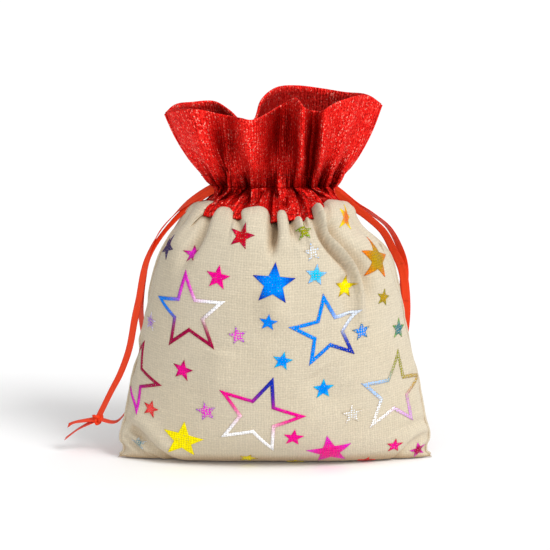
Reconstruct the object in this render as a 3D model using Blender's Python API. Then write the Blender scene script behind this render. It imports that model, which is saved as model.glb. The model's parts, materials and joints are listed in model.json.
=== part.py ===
"""Drawstring gift sack: a two-panel cloth pouch with a gathered, folded cuff and two ribbon drawstrings.

Frame: +Z up, -Y is the printed front, +X is the right-hand side. The origin is on the floor,
under the middle of the bottom seam. The model is the filled sack with its neck drawn in.

Rigid bodies that the joints use, each an empty here:
  sack           panels and seams
  front_mouth    front half of the neck, slides along -Y to open
  back_mouth     back half of the neck, slides along +Y to open
  left_run, right_run      ribbon over the shoulder, turns about the centre of its own arc
  left_drop, right_drop    ribbon hanging below the arc, stays upright
  left_tail, right_tail    knotted end, swings out and up
"""

import math

import bmesh
import bpy
from mathutils import Matrix, Vector

MM = 0.001

# Driving dimensions, in millimetres
HALF_WIDTH = 74.5          # bottom corner to the middle
RIM_HEIGHT = 172.0         # folded top edge of the cuff
SHOULDER_HEIGHT = 108.0    # where the gathered top of each panel starts
BASE_INSET = 0.9           # the bottom edge is this much shorter than the widest place above it
FLAP_DEPTH = 14.0          # how far each panel lies flat under the sack
NECK_HEIGHT = 130.4        # middle of the drawstring channel
NECK_HALF_WIDTH = 28.0
NECK_HALF_DEPTH = 14.5
CLOTH = 0.8                # one layer of cloth
GAP = 0.3                  # clearance between neighbouring pieces
SIDE_EDGE = 1.9            # a panel's side edge stands this far from the plane y = 0
SEAM_HALF = 0.8            # half the thickness of a turned-in seam allowance
SEAM_WIDTH = 6.0
CHANNEL_BOTTOM = 126.2
CHANNEL_TOP = 134.4
CHANNEL_GAP = 2.4          # room between the two layers of the channel
CUFF_BOTTOM = 123.0
TUCK_INSET = 1.3           # the panel's edge is tucked this far inside the cuff's outer face
SIDE_SEAM_LOW = 1.2
SIDE_SEAM_HIGH = 121.0
CUFF_SEAM_WIDTH = 1.6
RIBBON_WIDTH = 4.0
RIBBON_THICKNESS = 0.45
THREAD_RADIUS = 0.2
STITCH_MARGIN = 0.06       # radians that a row of stitches stops short of each side seam
COLUMNS = 28               # steps round one half of the sack

# Ribbon path, in its own upright plane: u runs outwards from the exit, z is up
ARC_CENTRE_U = -4.0
ARC_CENTRE_Z = NECK_HEIGHT - 42.0
ARC_RADIUS = 42.0
ARC_START = 86.0           # degrees from +u, just inside the neck
ARC_END = -6.0             # degrees from +u, at the outer end
SPLIT_Z = 62.0             # height of the pivot between the drop and the tail
TAIL_END_Z = 26.5
KNOT_RADIUS = 4.6          # the knot and a little clearance
KNOT_SIZE = 1.05           # a third of the trefoil's reach
KNOT_DEPTH = 1.25
KNOT_CORD = 0.85           # radius of the ribbon rolled up in the knot
KNOT_STEPS = 44
END_LENGTH = 13.0
END_SPREAD = 9.0           # degrees between each cut end and the line midway between them
STRAND_OFFSET = 0.55       # the two strands of a loop lie side by side
LAP_OFFSET = 1.30          # a lapped link lies this far out, clear of the strands

# Side of the sack: azimuth of the ribbon plane towards the back, and the outward reach of the tail
RIBBONS = {
    "left": {"side": -1, "azimuth": 8.0, "reach": 54.0, "end_angle": 205.0},
    "right": {"side": 1, "azimuth": 25.0, "reach": 45.0, "end_angle": 262.0},
}

# Body stations: height, half width, half depth, and how pointed the side is (0.5 is an ellipse)
BODY_STATIONS = [
    (2.0, 74.5, 16.5, 1.00),
    (10.0, 74.3, 21.0, 1.00),
    (25.0, 71.0, 27.0, 0.88),
    (42.0, 67.6, 31.0, 0.76),
    (58.0, 64.6, 33.5, 0.66),
    (74.0, 61.0, 35.2, 0.60),
    (88.0, 58.0, 35.8, 0.55),
    (99.0, 54.2, 34.6, 0.52),
    (SHOULDER_HEIGHT, 50.2, 32.4, 0.50),
]
SHOULDER_STATIONS = [
    (SHOULDER_HEIGHT + 0.4, 50.0, 32.2, 0.50),
    (114.0, 45.0, 28.2, 0.50),
    (119.0, 37.6, 22.4, 0.50),
    (122.2, 29.2, 15.6, 0.50),
]
CUFF_STATIONS = [
    (123.0, 28.0, 14.5, 0.50),
    (130.4, 27.8, 14.3, 0.50),
    (136.5, 31.0, 16.4, 0.50),
    (143.0, 37.5, 20.4, 0.50),
    (150.0, 43.5, 24.2, 0.50),
    (158.0, 47.8, 27.4, 0.50),
    (166.0, 51.0, 29.6, 0.50),
    (RIM_HEIGHT, 52.6, 30.6, 0.50),
]
CHANNEL_ROOF = (138.0, 28.2, 13.6, 0.50)
UPPER_STITCHES = (137.0, 31.6, 16.9, 0.50)
LOWER_STITCHES = (CUFF_BOTTOM + 1.4, NECK_HALF_WIDTH, NECK_HALF_DEPTH, 0.50)

COLOURS = {
    "natural_cloth": ((0.66, 0.56, 0.40, 1.0), 0.95, 0.0),
    "cuff_cloth": ((0.60, 0.01, 0.01, 1.0), 0.40, 0.35),
    "ribbon": ((0.80, 0.07, 0.03, 1.0), 0.45, 0.0),
    "natural_thread": ((0.72, 0.63, 0.48, 1.0), 0.80, 0.0),
    "red_thread": ((0.50, 0.01, 0.01, 1.0), 0.60, 0.0),
}


# Scene helpers

def clear_scene():
    for obj in list(bpy.data.objects):
        bpy.data.objects.remove(obj, do_unlink=True)


def make_material(name):
    colour, roughness, metallic = COLOURS[name]
    material = bpy.data.materials.new(name)
    material.use_nodes = True
    shader = material.node_tree.nodes["Principled BSDF"]
    shader.inputs["Base Color"].default_value = colour
    shader.inputs["Roughness"].default_value = roughness
    shader.inputs["Metallic"].default_value = metallic
    return material


def make_body(collection, name, place_mm):
    empty = bpy.data.objects.new("body_" + name, None)
    empty.location = Vector(place_mm) * MM
    collection.objects.link(empty)
    return empty


def adopt(obj, body):
    """Parents obj to body and leaves it where it is in the world."""
    bpy.context.view_layer.update()
    place = obj.matrix_world.copy()
    obj.parent = body
    obj.matrix_world = place


def finish(obj, collection, material, body):
    collection.objects.link(obj)
    obj.data.materials.append(material)
    if obj.type == "MESH":
        obj.data.shade_smooth()
        obj.data.set_sharp_from_angle(angle=math.radians(40))
    adopt(obj, body)
    return obj


# Shells swept round one half of the sack

def ring_point(station, t, facing, edge):
    """Point at angle t on a half ring: t = 0 is one side seam and t = pi the other."""
    z, half_width, half_depth, pointed = station
    depth = edge + (half_depth - edge) * math.sin(t) ** (2 * pointed)
    return Vector((-half_width * math.cos(t), facing * depth, z)) * MM


def inset(station, distance, lift=0.0):
    z, half_width, half_depth, pointed = station
    return (z + lift, half_width - distance, half_depth - distance, pointed)


def half_shell(name, facing, outline):
    """Closed solid: outline is a closed loop of (station, edge), swept round the front or back half."""
    mesh = bpy.data.meshes.new(name)
    bm = bmesh.new()
    loops = []
    for k in range(COLUMNS + 1):
        t = math.pi * k / COLUMNS
        loops.append([bm.verts.new(ring_point(s, t, facing, edge)) for s, edge in outline])
    count = len(outline)
    for here, there in zip(loops, loops[1:]):
        for i in range(count):
            j = (i + 1) % count
            bm.faces.new((here[i], here[j], there[j], there[i]))
    bm.faces.new(loops[0])
    bm.faces.new(list(reversed(loops[-1])))
    bmesh.ops.triangulate(bm, faces=bm.faces)
    bmesh.ops.recalc_face_normals(bm, faces=bm.faces)
    bm.to_mesh(mesh)
    bm.free()
    return bpy.data.objects.new(name, mesh)


def panel_outline():
    """Flat flap under the sack, then the wall up to the shoulder line, and back down inside."""
    half_base = HALF_WIDTH - BASE_INSET
    base = (0.0, half_base, FLAP_DEPTH, 1.0)
    flap_edge = SEAM_HALF + GAP
    flap = (0.0, half_base, flap_edge, 1.0)
    outside = [(flap, flap_edge), (base, SIDE_EDGE)]
    outside += [(s, SIDE_EDGE) for s in BODY_STATIONS]
    inside = [(inset(s, CLOTH), SIDE_EDGE) for s in reversed(BODY_STATIONS)]
    inside.append((inset(base, CLOTH, CLOTH), SIDE_EDGE))
    inside.append(((CLOTH, half_base - CLOTH, flap_edge, 1.0), flap_edge))
    return outside + inside


def shoulder_outline():
    """Gathered top of a panel; its upper edge is tucked between the two layers of the cuff."""
    tuck = (NECK_HALF_WIDTH - TUCK_INSET, NECK_HALF_DEPTH - TUCK_INSET)
    tucked = [(CUFF_BOTTOM + 0.2, *tuck, 0.5), (CHANNEL_BOTTOM - GAP, *tuck, 0.5)]
    outside = SHOULDER_STATIONS + tucked
    inside = [inset(tucked[1], CLOTH), inset(tucked[0], CLOTH, -CLOTH)]
    inside += [inset(s, CLOTH, -0.25 * CLOTH) for s in reversed(SHOULDER_STATIONS[1:])]
    inside.append(inset(SHOULDER_STATIONS[0], CLOTH))
    return [(s, SIDE_EDGE) for s in outside + inside]


def cuff_outline():
    """Cloth folded over at the rim: two layers together above, and the channel between them below."""
    legs = (NECK_HALF_WIDTH - CLOTH, NECK_HALF_DEPTH - CLOTH)
    inner = (legs[0] - CHANNEL_GAP, legs[1] - CHANNEL_GAP)
    lining = (inner[0] - CLOTH, inner[1] - CLOTH)
    outside = list(CUFF_STATIONS)
    inside = [inset(s, 2 * CLOTH) for s in reversed(CUFF_STATIONS[3:])]
    inside.append(CHANNEL_ROOF)
    inside.append((CHANNEL_TOP, *lining, 0.5))
    inside.append((CUFF_BOTTOM, *lining, 0.5))
    channel = [
        (CUFF_BOTTOM, *inner, 0.5),
        (CHANNEL_TOP, *inner, 0.5),
        (CHANNEL_TOP, *legs, 0.5),
        (CUFF_BOTTOM, *legs, 0.5),
    ]
    return [(s, SIDE_EDGE) for s in outside + inside + channel]


def run_outline(depth):
    """Ribbon inside the channel, depth below the cuff's outer face."""
    low = NECK_HEIGHT - RIBBON_WIDTH / 2
    high = NECK_HEIGHT + RIBBON_WIDTH / 2
    outer = (NECK_HALF_WIDTH - depth, NECK_HALF_DEPTH - depth)
    inner = (outer[0] - RIBBON_THICKNESS, outer[1] - RIBBON_THICKNESS)
    corners = [(low, *outer), (high, *outer), (high, *inner), (low, *inner)]
    return [((*corner, 0.5), SIDE_EDGE) for corner in corners]


# Flat plates and threads

def flat_plate(name, outline, thickness, frame):
    """Plate from a closed outline of (u, z) points in mm. frame carries local x, y, z to u, up and normal."""
    curve = bpy.data.curves.new(name, "CURVE")
    curve.dimensions = "2D"
    curve.fill_mode = "BOTH"
    curve.extrude = thickness / 2 * MM
    spline = curve.splines.new("POLY")
    spline.points.add(len(outline) - 1)
    for point, (u, z) in zip(spline.points, outline):
        point.co = (u * MM, z * MM, 0.0, 1.0)
    spline.use_cyclic_u = True
    obj = bpy.data.objects.new(name, curve)
    obj.matrix_world = frame
    return obj


def thread(name, points, radius):
    curve = bpy.data.curves.new(name, "CURVE")
    curve.dimensions = "3D"
    curve.bevel_depth = radius * MM
    curve.bevel_resolution = 0
    curve.use_fill_caps = True
    spline = curve.splines.new("POLY")
    spline.points.add(len(points) - 1)
    for point, place in zip(spline.points, points):
        point.co = (*place, 1.0)
    return bpy.data.objects.new(name, curve)


def side_line(stations, low, high, steps):
    """Half width of a list of stations at even heights, by straight lines between them."""
    line = []
    for k in range(steps + 1):
        z = low + (high - low) * k / steps
        below = max((s for s in stations if s[0] <= z), key=lambda s: s[0], default=stations[0])
        above = min((s for s in stations if s[0] >= z), key=lambda s: s[0], default=stations[-1])
        span = above[0] - below[0]
        share = (z - below[0]) / span if span else 0.0
        line.append((below[1] + (above[1] - below[1]) * share, z))
    return line


def seam_strip(name, side, stations, low, high, width):
    """Turned-in seam allowance in the plane y = 0, following the side of the sack."""
    line = side_line(stations, low, high, 14)
    outline = [(side * x, z) for x, z in line]
    outline += [(side * (x - width), z) for x, z in reversed(line)]
    upright = Matrix.Rotation(math.radians(90), 4, "X")
    return flat_plate(name, outline, 2 * SEAM_HALF, upright)


def stitch_row(name, facing, station):
    """One row of thread lying just outside the cuff."""
    proud = THREAD_RADIUS + GAP
    outer = inset(station, -proud)
    steps = 2 * COLUMNS
    swept = math.pi - 2 * STITCH_MARGIN
    angles = [STITCH_MARGIN + swept * k / steps for k in range(steps + 1)]
    return thread(name, [ring_point(outer, t, facing, SIDE_EDGE) for t in angles], THREAD_RADIUS)


# Ribbons

def ribbon_frame(ribbon):
    """Matrix of the ribbon's upright plane: local x is outwards, y is up, the origin is under the exit."""
    side = ribbon["side"]
    azimuth = math.radians(ribbon["azimuth"])
    outwards = Vector((side * math.cos(azimuth), math.sin(azimuth), 0.0))
    up = Vector((0.0, 0.0, 1.0))
    rotation = Matrix((outwards, up, outwards.cross(up))).transposed().to_4x4()
    return Matrix.Translation((side * NECK_HALF_WIDTH * MM, 0.0, 0.0)) @ rotation


def shifted(frame, offset_mm):
    return frame @ Matrix.Translation((0.0, 0.0, offset_mm * MM))


def in_world(frame, u, z):
    return frame @ Vector((u * MM, z * MM, 0.0))


def arc_point(radius, degrees):
    angle = math.radians(degrees)
    return (ARC_CENTRE_U + radius * math.cos(angle), ARC_CENTRE_Z + radius * math.sin(angle))


def arc_outline():
    """Ring sector with a round outer end about the pivot of the drop."""
    half = RIBBON_WIDTH / 2
    steps = 20
    angles = [ARC_START + (ARC_END - ARC_START) * k / steps for k in range(steps + 1)]
    outer = [arc_point(ARC_RADIUS + half, a) for a in angles]
    inner = [arc_point(ARC_RADIUS - half, a) for a in reversed(angles)]
    centre = arc_point(ARC_RADIUS, ARC_END)
    tip = []
    for k in range(1, 6):
        angle = math.radians(ARC_END - 180.0 * k / 6)
        tip.append((centre[0] + half * math.cos(angle), centre[1] + half * math.sin(angle)))
    return outer + tip + inner


def link_outline(start, end, round_end=True):
    """Straight ribbon link with round ends: a stadium, or a square-cut lower end."""
    half = RIBBON_WIDTH / 2
    along = Vector((end[0] - start[0], end[1] - start[1])).normalized()
    heading = math.degrees(math.atan2(along.y, along.x))
    outline = []
    for k in range(7):
        angle = math.radians(heading + 90 + 30 * k)
        outline.append((start[0] + half * math.cos(angle), start[1] + half * math.sin(angle)))
    if round_end:
        for k in range(7):
            angle = math.radians(heading - 90 + 30 * k)
            outline.append((end[0] + half * math.cos(angle), end[1] + half * math.sin(angle)))
    else:
        across = Vector((-along.y, along.x)) * half
        outline.append((end[0] - across.x, end[1] - across.y))
        outline.append((end[0] + across.x, end[1] + across.y))
    return outline


def overhand_knot(name, frame, centre):
    """Small overhand knot: a trefoil of cord, flattened a little."""
    curve = bpy.data.curves.new(name, "CURVE")
    curve.dimensions = "3D"
    curve.bevel_depth = KNOT_CORD * MM
    curve.bevel_resolution = 1
    spline = curve.splines.new("POLY")
    spline.points.add(KNOT_STEPS - 1)
    for k in range(KNOT_STEPS):
        t = 2 * math.pi * k / KNOT_STEPS
        u = KNOT_SIZE * (math.sin(t) + 2 * math.sin(2 * t))
        z = KNOT_SIZE * (math.cos(t) - 2 * math.cos(2 * t))
        depth = -KNOT_DEPTH * math.sin(3 * t)
        place = frame @ (Vector((centre[0] + u, centre[1] + z, depth)) * MM)
        spline.points[k].co = (*place, 1.0)
    spline.use_cyclic_u = True
    return bpy.data.objects.new(name, curve)


def build_ribbon(name, ribbon, collection, material, bodies):
    frame = ribbon_frame(ribbon)
    arc_end = arc_point(ARC_RADIUS, ARC_END)
    reach = ribbon["reach"]
    lean = (reach - arc_end[0]) / (TAIL_END_Z - arc_end[1])
    pivot = (arc_end[0] + lean * (SPLIT_Z - arc_end[1]), SPLIT_Z)
    tail_end = (reach, TAIL_END_Z)
    towards_front = -1 if ribbon["side"] < 0 else 1

    joints = {"_run": (ARC_CENTRE_U, ARC_CENTRE_Z), "_drop": arc_end, "_tail": pivot}
    for label, place in joints.items():
        bodies[name + label] = make_body(collection, name + label, in_world(frame, *place) / MM)

    for strand, sign in (("front", towards_front), ("back", -towards_front)):
        near = shifted(frame, sign * STRAND_OFFSET)
        lapped = shifted(frame, sign * LAP_OFFSET)
        label = name + "_ribbon_" + strand
        run = flat_plate(label + "_strand", arc_outline(), RIBBON_THICKNESS, near)
        finish(run, collection, material, bodies[name + "_run"])
        drop = flat_plate(label + "_drop", link_outline(arc_end, pivot), RIBBON_THICKNESS, lapped)
        finish(drop, collection, material, bodies[name + "_drop"])
        tail = flat_plate(label + "_tail", link_outline(pivot, tail_end, False), RIBBON_THICKNESS, near)
        finish(tail, collection, material, bodies[name + "_tail"])

    heading = math.radians(ribbon["end_angle"])
    down = Vector((reach - pivot[0], TAIL_END_Z - pivot[1])).normalized()
    knot_centre = (reach + KNOT_RADIUS * down.x, TAIL_END_Z + KNOT_RADIUS * down.y)
    knot = overhand_knot(name + "_knot", frame, knot_centre)
    finish(knot, collection, material, bodies[name + "_tail"])
    spread = math.radians(END_SPREAD)
    for label, sign in (("_ribbon_end_1", 1), ("_ribbon_end_2", -1)):
        angle = heading + sign * spread
        out = Vector((-math.cos(angle), math.sin(angle)))
        clear = KNOT_RADIUS + RIBBON_WIDTH / 2
        start = (knot_centre[0] + clear * out.x, knot_centre[1] + clear * out.y)
        end = (start[0] + END_LENGTH * out.x, start[1] + END_LENGTH * out.y)
        near = shifted(frame, sign * STRAND_OFFSET)
        plate = flat_plate(name + label, link_outline(start, end, False), RIBBON_THICKNESS, near)
        finish(plate, collection, material, bodies[name + "_tail"])


# Assembly

def build_sack(collection, materials, bodies):
    cloth = materials["natural_cloth"]
    for name, facing in (("front", -1), ("back", 1)):
        panel = half_shell(name + "_panel", facing, panel_outline())
        finish(panel, collection, cloth, bodies["sack"])
    for name, side in (("left", -1), ("right", 1)):
        line = BODY_STATIONS + SHOULDER_STATIONS
        seam = seam_strip(name + "_side_seam", side, line, SIDE_SEAM_LOW, SIDE_SEAM_HIGH, SEAM_WIDTH)
        finish(seam, collection, materials["natural_thread"], bodies["sack"])
        low, high = CHANNEL_TOP + 1.0, RIM_HEIGHT - 0.4
        cuff_seam = seam_strip(name + "_cuff_seam", side, CUFF_STATIONS, low, high, CUFF_SEAM_WIDTH)
        finish(cuff_seam, collection, materials["red_thread"], bodies["sack"])
    length = HALF_WIDTH - SEAM_WIDTH - 4 * GAP
    outline = [(-length, 0.0), (length, 0.0), (length, SEAM_WIDTH), (-length, SEAM_WIDTH)]
    upright = Matrix.Rotation(math.radians(90), 4, "X")
    bottom = flat_plate("bottom_seam", outline, 2 * SEAM_HALF, upright)
    finish(bottom, collection, materials["natural_thread"], bodies["sack"])


def build_mouth(name, facing, collection, materials, body):
    shoulder = half_shell(name + "_gathered_top", facing, shoulder_outline())
    finish(shoulder, collection, materials["natural_cloth"], body)
    cuff = half_shell(name + "_cuff", facing, cuff_outline())
    finish(cuff, collection, materials["cuff_cloth"], body)
    first = CLOTH + GAP
    second = first + RIBBON_THICKNESS + GAP
    for owner, depth in (("right", first), ("left", second)):
        run = half_shell(owner + "_ribbon_" + name + "_run", facing, run_outline(depth))
        finish(run, collection, materials["ribbon"], body)
    for label, station in (("upper", UPPER_STITCHES), ("lower", LOWER_STITCHES)):
        row = stitch_row(name + "_" + label + "_stitches", facing, station)
        finish(row, collection, materials["red_thread"], body)


def main():
    clear_scene()
    collection = bpy.data.collections.new("gift_sack")
    bpy.context.scene.collection.children.link(collection)
    materials = {name: make_material(name) for name in COLOURS}
    bodies = {name: make_body(collection, name, (0, 0, 0)) for name in ("sack", "front_mouth", "back_mouth")}
    build_sack(collection, materials, bodies)
    build_mouth("front", -1, collection, materials, bodies["front_mouth"])
    build_mouth("back", 1, collection, materials, bodies["back_mouth"])
    for name, ribbon in RIBBONS.items():
        build_ribbon(name, ribbon, collection, materials["ribbon"], bodies)


main()
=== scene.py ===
import json
import math

import bpy
import numpy as np
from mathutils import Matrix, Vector


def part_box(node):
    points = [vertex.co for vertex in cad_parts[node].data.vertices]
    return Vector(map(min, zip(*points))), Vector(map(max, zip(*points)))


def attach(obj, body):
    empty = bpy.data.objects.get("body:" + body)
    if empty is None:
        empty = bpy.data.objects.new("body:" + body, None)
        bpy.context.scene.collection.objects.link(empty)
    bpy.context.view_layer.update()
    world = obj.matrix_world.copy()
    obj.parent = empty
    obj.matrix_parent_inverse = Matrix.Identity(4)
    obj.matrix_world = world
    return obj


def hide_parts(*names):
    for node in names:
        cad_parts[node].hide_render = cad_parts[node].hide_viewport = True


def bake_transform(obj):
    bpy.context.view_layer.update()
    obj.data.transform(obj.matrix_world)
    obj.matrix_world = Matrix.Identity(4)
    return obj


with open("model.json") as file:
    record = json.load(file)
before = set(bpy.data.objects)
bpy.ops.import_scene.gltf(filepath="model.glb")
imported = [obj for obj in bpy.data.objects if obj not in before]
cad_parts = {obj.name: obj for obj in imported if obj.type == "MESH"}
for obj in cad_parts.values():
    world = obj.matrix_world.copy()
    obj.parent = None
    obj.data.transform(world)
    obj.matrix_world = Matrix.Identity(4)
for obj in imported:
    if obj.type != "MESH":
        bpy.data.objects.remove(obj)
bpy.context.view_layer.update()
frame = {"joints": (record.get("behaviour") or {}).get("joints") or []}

MM = 0.001

# Cloth, in millimetres: u runs round the sack from the left side seam past the front,
# and v runs up from the bottom seam
PANEL_WIDTH = 150.0
PANEL_COLUMNS = 120
LOOP_COLUMNS = 2 * PANEL_COLUMNS
DU = PANEL_WIDTH / PANEL_COLUMNS
V_ROLL = 114.0             # where the gathers start to puff out
V_CUFF = 135.0             # where the red cuff is sewn on
V_NECK = 156.0             # the drawstring line
V_RIM = 205.0              # the folded edge of the cuff
ROWS = 132
DV = V_RIM / ROWS
V_NECK_ROW = round(V_NECK / DV) * DV
LINEN_THICKNESS = 0.7
LUREX_THICKNESS = 1.2
LUREX_LIFT = 0.15          # the red cloth stands a little proud of the linen
NECK_HALF_WIDTH, NECK_HALF_DEPTH = 26.0, 11.6
RIM_HALF_WIDTH, RIM_HALF_DEPTH = 52.6, 26.6
RIM_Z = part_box("front_cuff")[1].z / MM
NECK_Z = sum(corner.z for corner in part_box("left_ribbon_front_run")) / 2 / MM

# Filled outline: height, half width, half depth, and how pointed the sides are (0.5 is an ellipse)
STATIONS = [
    (0.5, 74.6, 0.3, 1.00),
    (0.6, 74.6, 9.0, 1.00),
    (2.0, 74.6, 13.5, 1.00),
    (5.0, 74.4, 18.5, 0.98),
    (9.0, 73.8, 22.5, 0.96),
    (14.0, 72.8, 25.2, 0.93),
    (25.0, 70.6, 28.4, 0.86),
    (42.0, 66.8, 31.8, 0.74),
    (58.0, 63.4, 34.0, 0.66),
    (74.0, 60.0, 35.6, 0.60),
    (88.0, 57.0, 36.0, 0.55),
    (99.0, 53.8, 35.0, 0.52),
    (108.0, 49.8, 32.6, 0.50),
    (114.0, 45.4, 29.4, 0.50),
    (119.0, 39.0, 24.2, 0.50),
    (122.5, 31.6, 17.6, 0.50),
    (NECK_Z - 3.0, 26.8, 12.6, 0.50),
    (NECK_Z, NECK_HALF_WIDTH, NECK_HALF_DEPTH, 0.50),
    (NECK_Z + 5.0, 29.5, 13.2, 0.50),
    (NECK_Z + 9.0, 34.0, 15.4, 0.50),
    (NECK_Z + 13.0, 38.0, 17.6, 0.50),
    (NECK_Z + 20.0, 43.0, 20.6, 0.50),
    (NECK_Z + 28.0, 47.5, 23.4, 0.50),
    (RIM_Z - 6.0, 50.0, 25.2, 0.50),
    (RIM_Z + 5.0, 52.0, 26.6, 0.50),
]


# Lines and vectors

def unit(vectors):
    return vectors / np.linalg.norm(vectors, axis=-1, keepdims=True)


def smoothstep(x):
    x = np.clip(x, 0, 1)
    return x * x * (3 - 2 * x)


def running_total(steps):
    return np.concatenate([[0.0], np.cumsum(steps)])


def run_along(points):
    """Distance of each point along the line from its first one."""
    return running_total(np.linalg.norm(np.diff(points, axis=0), axis=1))


def even_points(points, count):
    """count + 1 points at even spacing; columns after the third, such as a twist, ride along."""
    run = run_along(points[:, :3])
    even = np.linspace(0, run[-1], count + 1)
    return np.stack([np.interp(even, run, points[:, k]) for k in range(points.shape[1])], -1)


def smooth_curve(points, count):
    """count points on a smooth curve through the given ones."""
    points = np.array(points, float)
    ends = np.concatenate([[2 * points[0] - points[1]], points, [2 * points[-1] - points[-2]]])
    t = np.linspace(0, len(points) - 1, count)
    i = np.clip(t.astype(int), 0, len(points) - 2)
    f = (t - i)[:, None]
    a, b, c, d = ends[i], ends[i + 1], ends[i + 2], ends[i + 3]
    bend = 2 * a - 5 * b + 4 * c - d
    return 0.5 * (2 * b + (c - a) * f + bend * f * f + (3 * b - a - 3 * c + d) * f ** 3)


def smooth_line(points, count=70):
    """Even points on a smooth curve through the given ones."""
    return even_points(smooth_curve(points, 12 * len(points)), count)


# Starting shape of the cloth

def station_at(v):
    """Rows of (height, half width, half depth, pointedness) at path lengths v up the middle of a panel."""
    table = np.array(STATIONS)
    steps = np.hypot(np.diff(table[:, 0]), np.diff(table[:, 2]))
    path = running_total(steps)
    neck = int(np.argmin(np.abs(table[:, 0] - NECK_Z)))
    below = path[:neck + 1] * V_NECK / path[neck]
    above = V_NECK + (path[neck:] - path[neck]) * (V_RIM - V_NECK) / (path[-1] - path[neck])
    place = np.concatenate([below, above[1:]])
    return np.stack([np.interp(v, place, table[:, k]) for k in range(4)], axis=-1)


def even_ring(hw, hd, pointed, count):
    """count + 1 points at even spacing along the front half ring, from the left seam to the right one."""
    t = np.linspace(0, math.pi, 721)
    x = -hw * np.cos(t)
    y = -hd * np.sin(t).clip(0) ** (2 * pointed)
    run = running_total(np.hypot(np.diff(x), np.diff(y)))
    even = np.linspace(0, run[-1], count + 1)
    return np.interp(even, run, x), np.interp(even, run, y)


# Neck pleats of each half: place of the crest (0 left seam, 1 right seam) and its height
FRONT_PLEATS = [
    (0.050, 3.8), (0.150, 2.6), (0.255, 3.8), (0.405, 4.2), (0.540, 3.4),
    (0.640, 2.6), (0.735, 3.0), (0.835, 3.6), (0.940, 4.0),
]
BACK_PLEATS = [
    (0.055, 3.8), (0.160, 3.2), (0.270, 3.9), (0.380, 3.2), (0.500, 3.8),
    (0.615, 3.1), (0.720, 3.9), (0.840, 3.3), (0.940, 3.8),
]
# The cuff's rim, x, y and z, from the left seam to the right one
FRONT_RIM = [
    (-50.5, 0.0, 163.5), (-44.0, -14.0, 165.5), (-34.0, -21.5, 166.0), (-22.5, -14.0, 163.0),
    (-15.5, -27.0, 162.5), (-8.5, -26.0, 162.0), (2.5, -8.0, 167.0), (8.5, -14.0, 171.0),
    (12.5, -23.0, 167.5), (18.0, -17.0, 165.0), (22.5, -26.0, 166.5), (29.0, -18.5, 169.5),
    (36.0, -16.0, 171.5), (42.5, -5.0, 171.5), (49.0, 0.0, 167.5),
]
BACK_RIM = [
    (-50.5, 0.0, 163.5), (-46.5, 13.0, 166.5), (-40.0, 21.0, 167.0), (-29.0, 24.0, 167.5),
    (-21.5, 15.0, 164.0), (-15.0, 2.0, 159.0), (-10.0, -5.0, 160.0), (-6.5, 7.0, 169.0),
    (0.5, 20.0, 174.0), (10.5, 29.0, 174.5), (23.0, 30.0, 173.0), (33.5, 25.0, 171.5),
    (43.0, 13.0, 171.0), (49.0, 0.0, 167.5),
]
RIM_FULLNESS = 1.08        # length of the rim against the panel's width
PLEAT_LEAN = 0.30          # how far the sides of a pleat bulge towards its neighbours


def fitted(curve, length):
    """Evenly spaced points on the curve(scale) whose length is as asked."""
    low, high = 0.0, 4.0
    for _ in range(40):
        mid = (low + high) / 2
        run = np.linalg.norm(np.diff(curve(mid), axis=0), axis=1).sum()
        low, high = (mid, high) if run < length else (low, mid)
    return even_points(curve(low), PANEL_COLUMNS)


def neck_half(pleats):
    """Pleated front half of the neck: round crests pressed together, with narrow creases between them."""
    hw, hd = NECK_HALF_WIDTH, NECK_HALF_DEPTH
    t = np.linspace(0, 1, 4001)
    places = [place for place, _ in pleats]
    sizes = [size for _, size in pleats]
    knots, values = [0.0], [-0.2 * sizes[0]]
    for k, (place, size) in enumerate(pleats):
        if k:
            knots.append((places[k - 1] + place) / 2)
            values.append(-(sizes[k - 1] + size) / 2)
        knots.append(place)
        values.append(size)
    knots, values = np.array(knots + [1.0]), np.array(values + [-0.2 * sizes[-1]])
    cell = np.clip(np.searchsorted(knots, t, side="right") - 1, 0, len(knots) - 2)
    width = knots[cell + 1] - knots[cell]
    share = (t - knots[cell]) / width
    rise = values[cell + 1] - values[cell]
    wave = values[cell] + rise * (0.5 - 0.5 * np.cos(math.pi * share))
    arc = math.pi * math.sqrt((hw * hw + hd * hd) / 2)
    lean = np.sign(rise) * np.sin(2 * math.pi * share) * width * arc
    angle = math.pi * t
    base = np.stack([-hw * np.cos(angle), -hd * np.sin(angle)], -1)
    normal = np.stack([-hd * np.cos(angle), -hw * np.sin(angle)], -1)
    normal = unit(normal)
    tangent = np.stack([-normal[:, 1], normal[:, 0]], -1)
    fade = np.minimum(1, np.minimum(t, 1 - t) / 0.03)[:, None]
    leaning = PLEAT_LEAN * lean[:, None] * tangent
    return fitted(lambda scale: base + fade * (scale * wave[:, None] * normal + leaning), PANEL_WIDTH)


def rim_half(outline, facing):
    """Half of the rim as a smooth curve through the outline, its waves scaled until the cloth fits."""
    smooth = smooth_curve(outline, 1200)
    x = np.clip(smooth[:, 0], -RIM_HALF_WIDTH, RIM_HALF_WIDTH)
    base = smooth.copy()
    base[:, 1] = facing * RIM_HALF_DEPTH * np.sqrt(np.clip(1 - (x / RIM_HALF_WIDTH) ** 2, 0, 1))
    return fitted(lambda scale: base + scale * (smooth - base), PANEL_WIDTH * RIM_FULLNESS)


def joined(front, back):
    """One closed loop from a front half and a back half, both given from left to right."""
    return np.concatenate([front[:-1], back[::-1][:-1]])


def neck_ring():
    return joined(neck_half(FRONT_PLEATS), neck_half(BACK_PLEATS) * np.array([1.0, -1.0]))


def rim_ring():
    return joined(rim_half(FRONT_RIM, -1), rim_half(BACK_RIM, 1))


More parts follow.
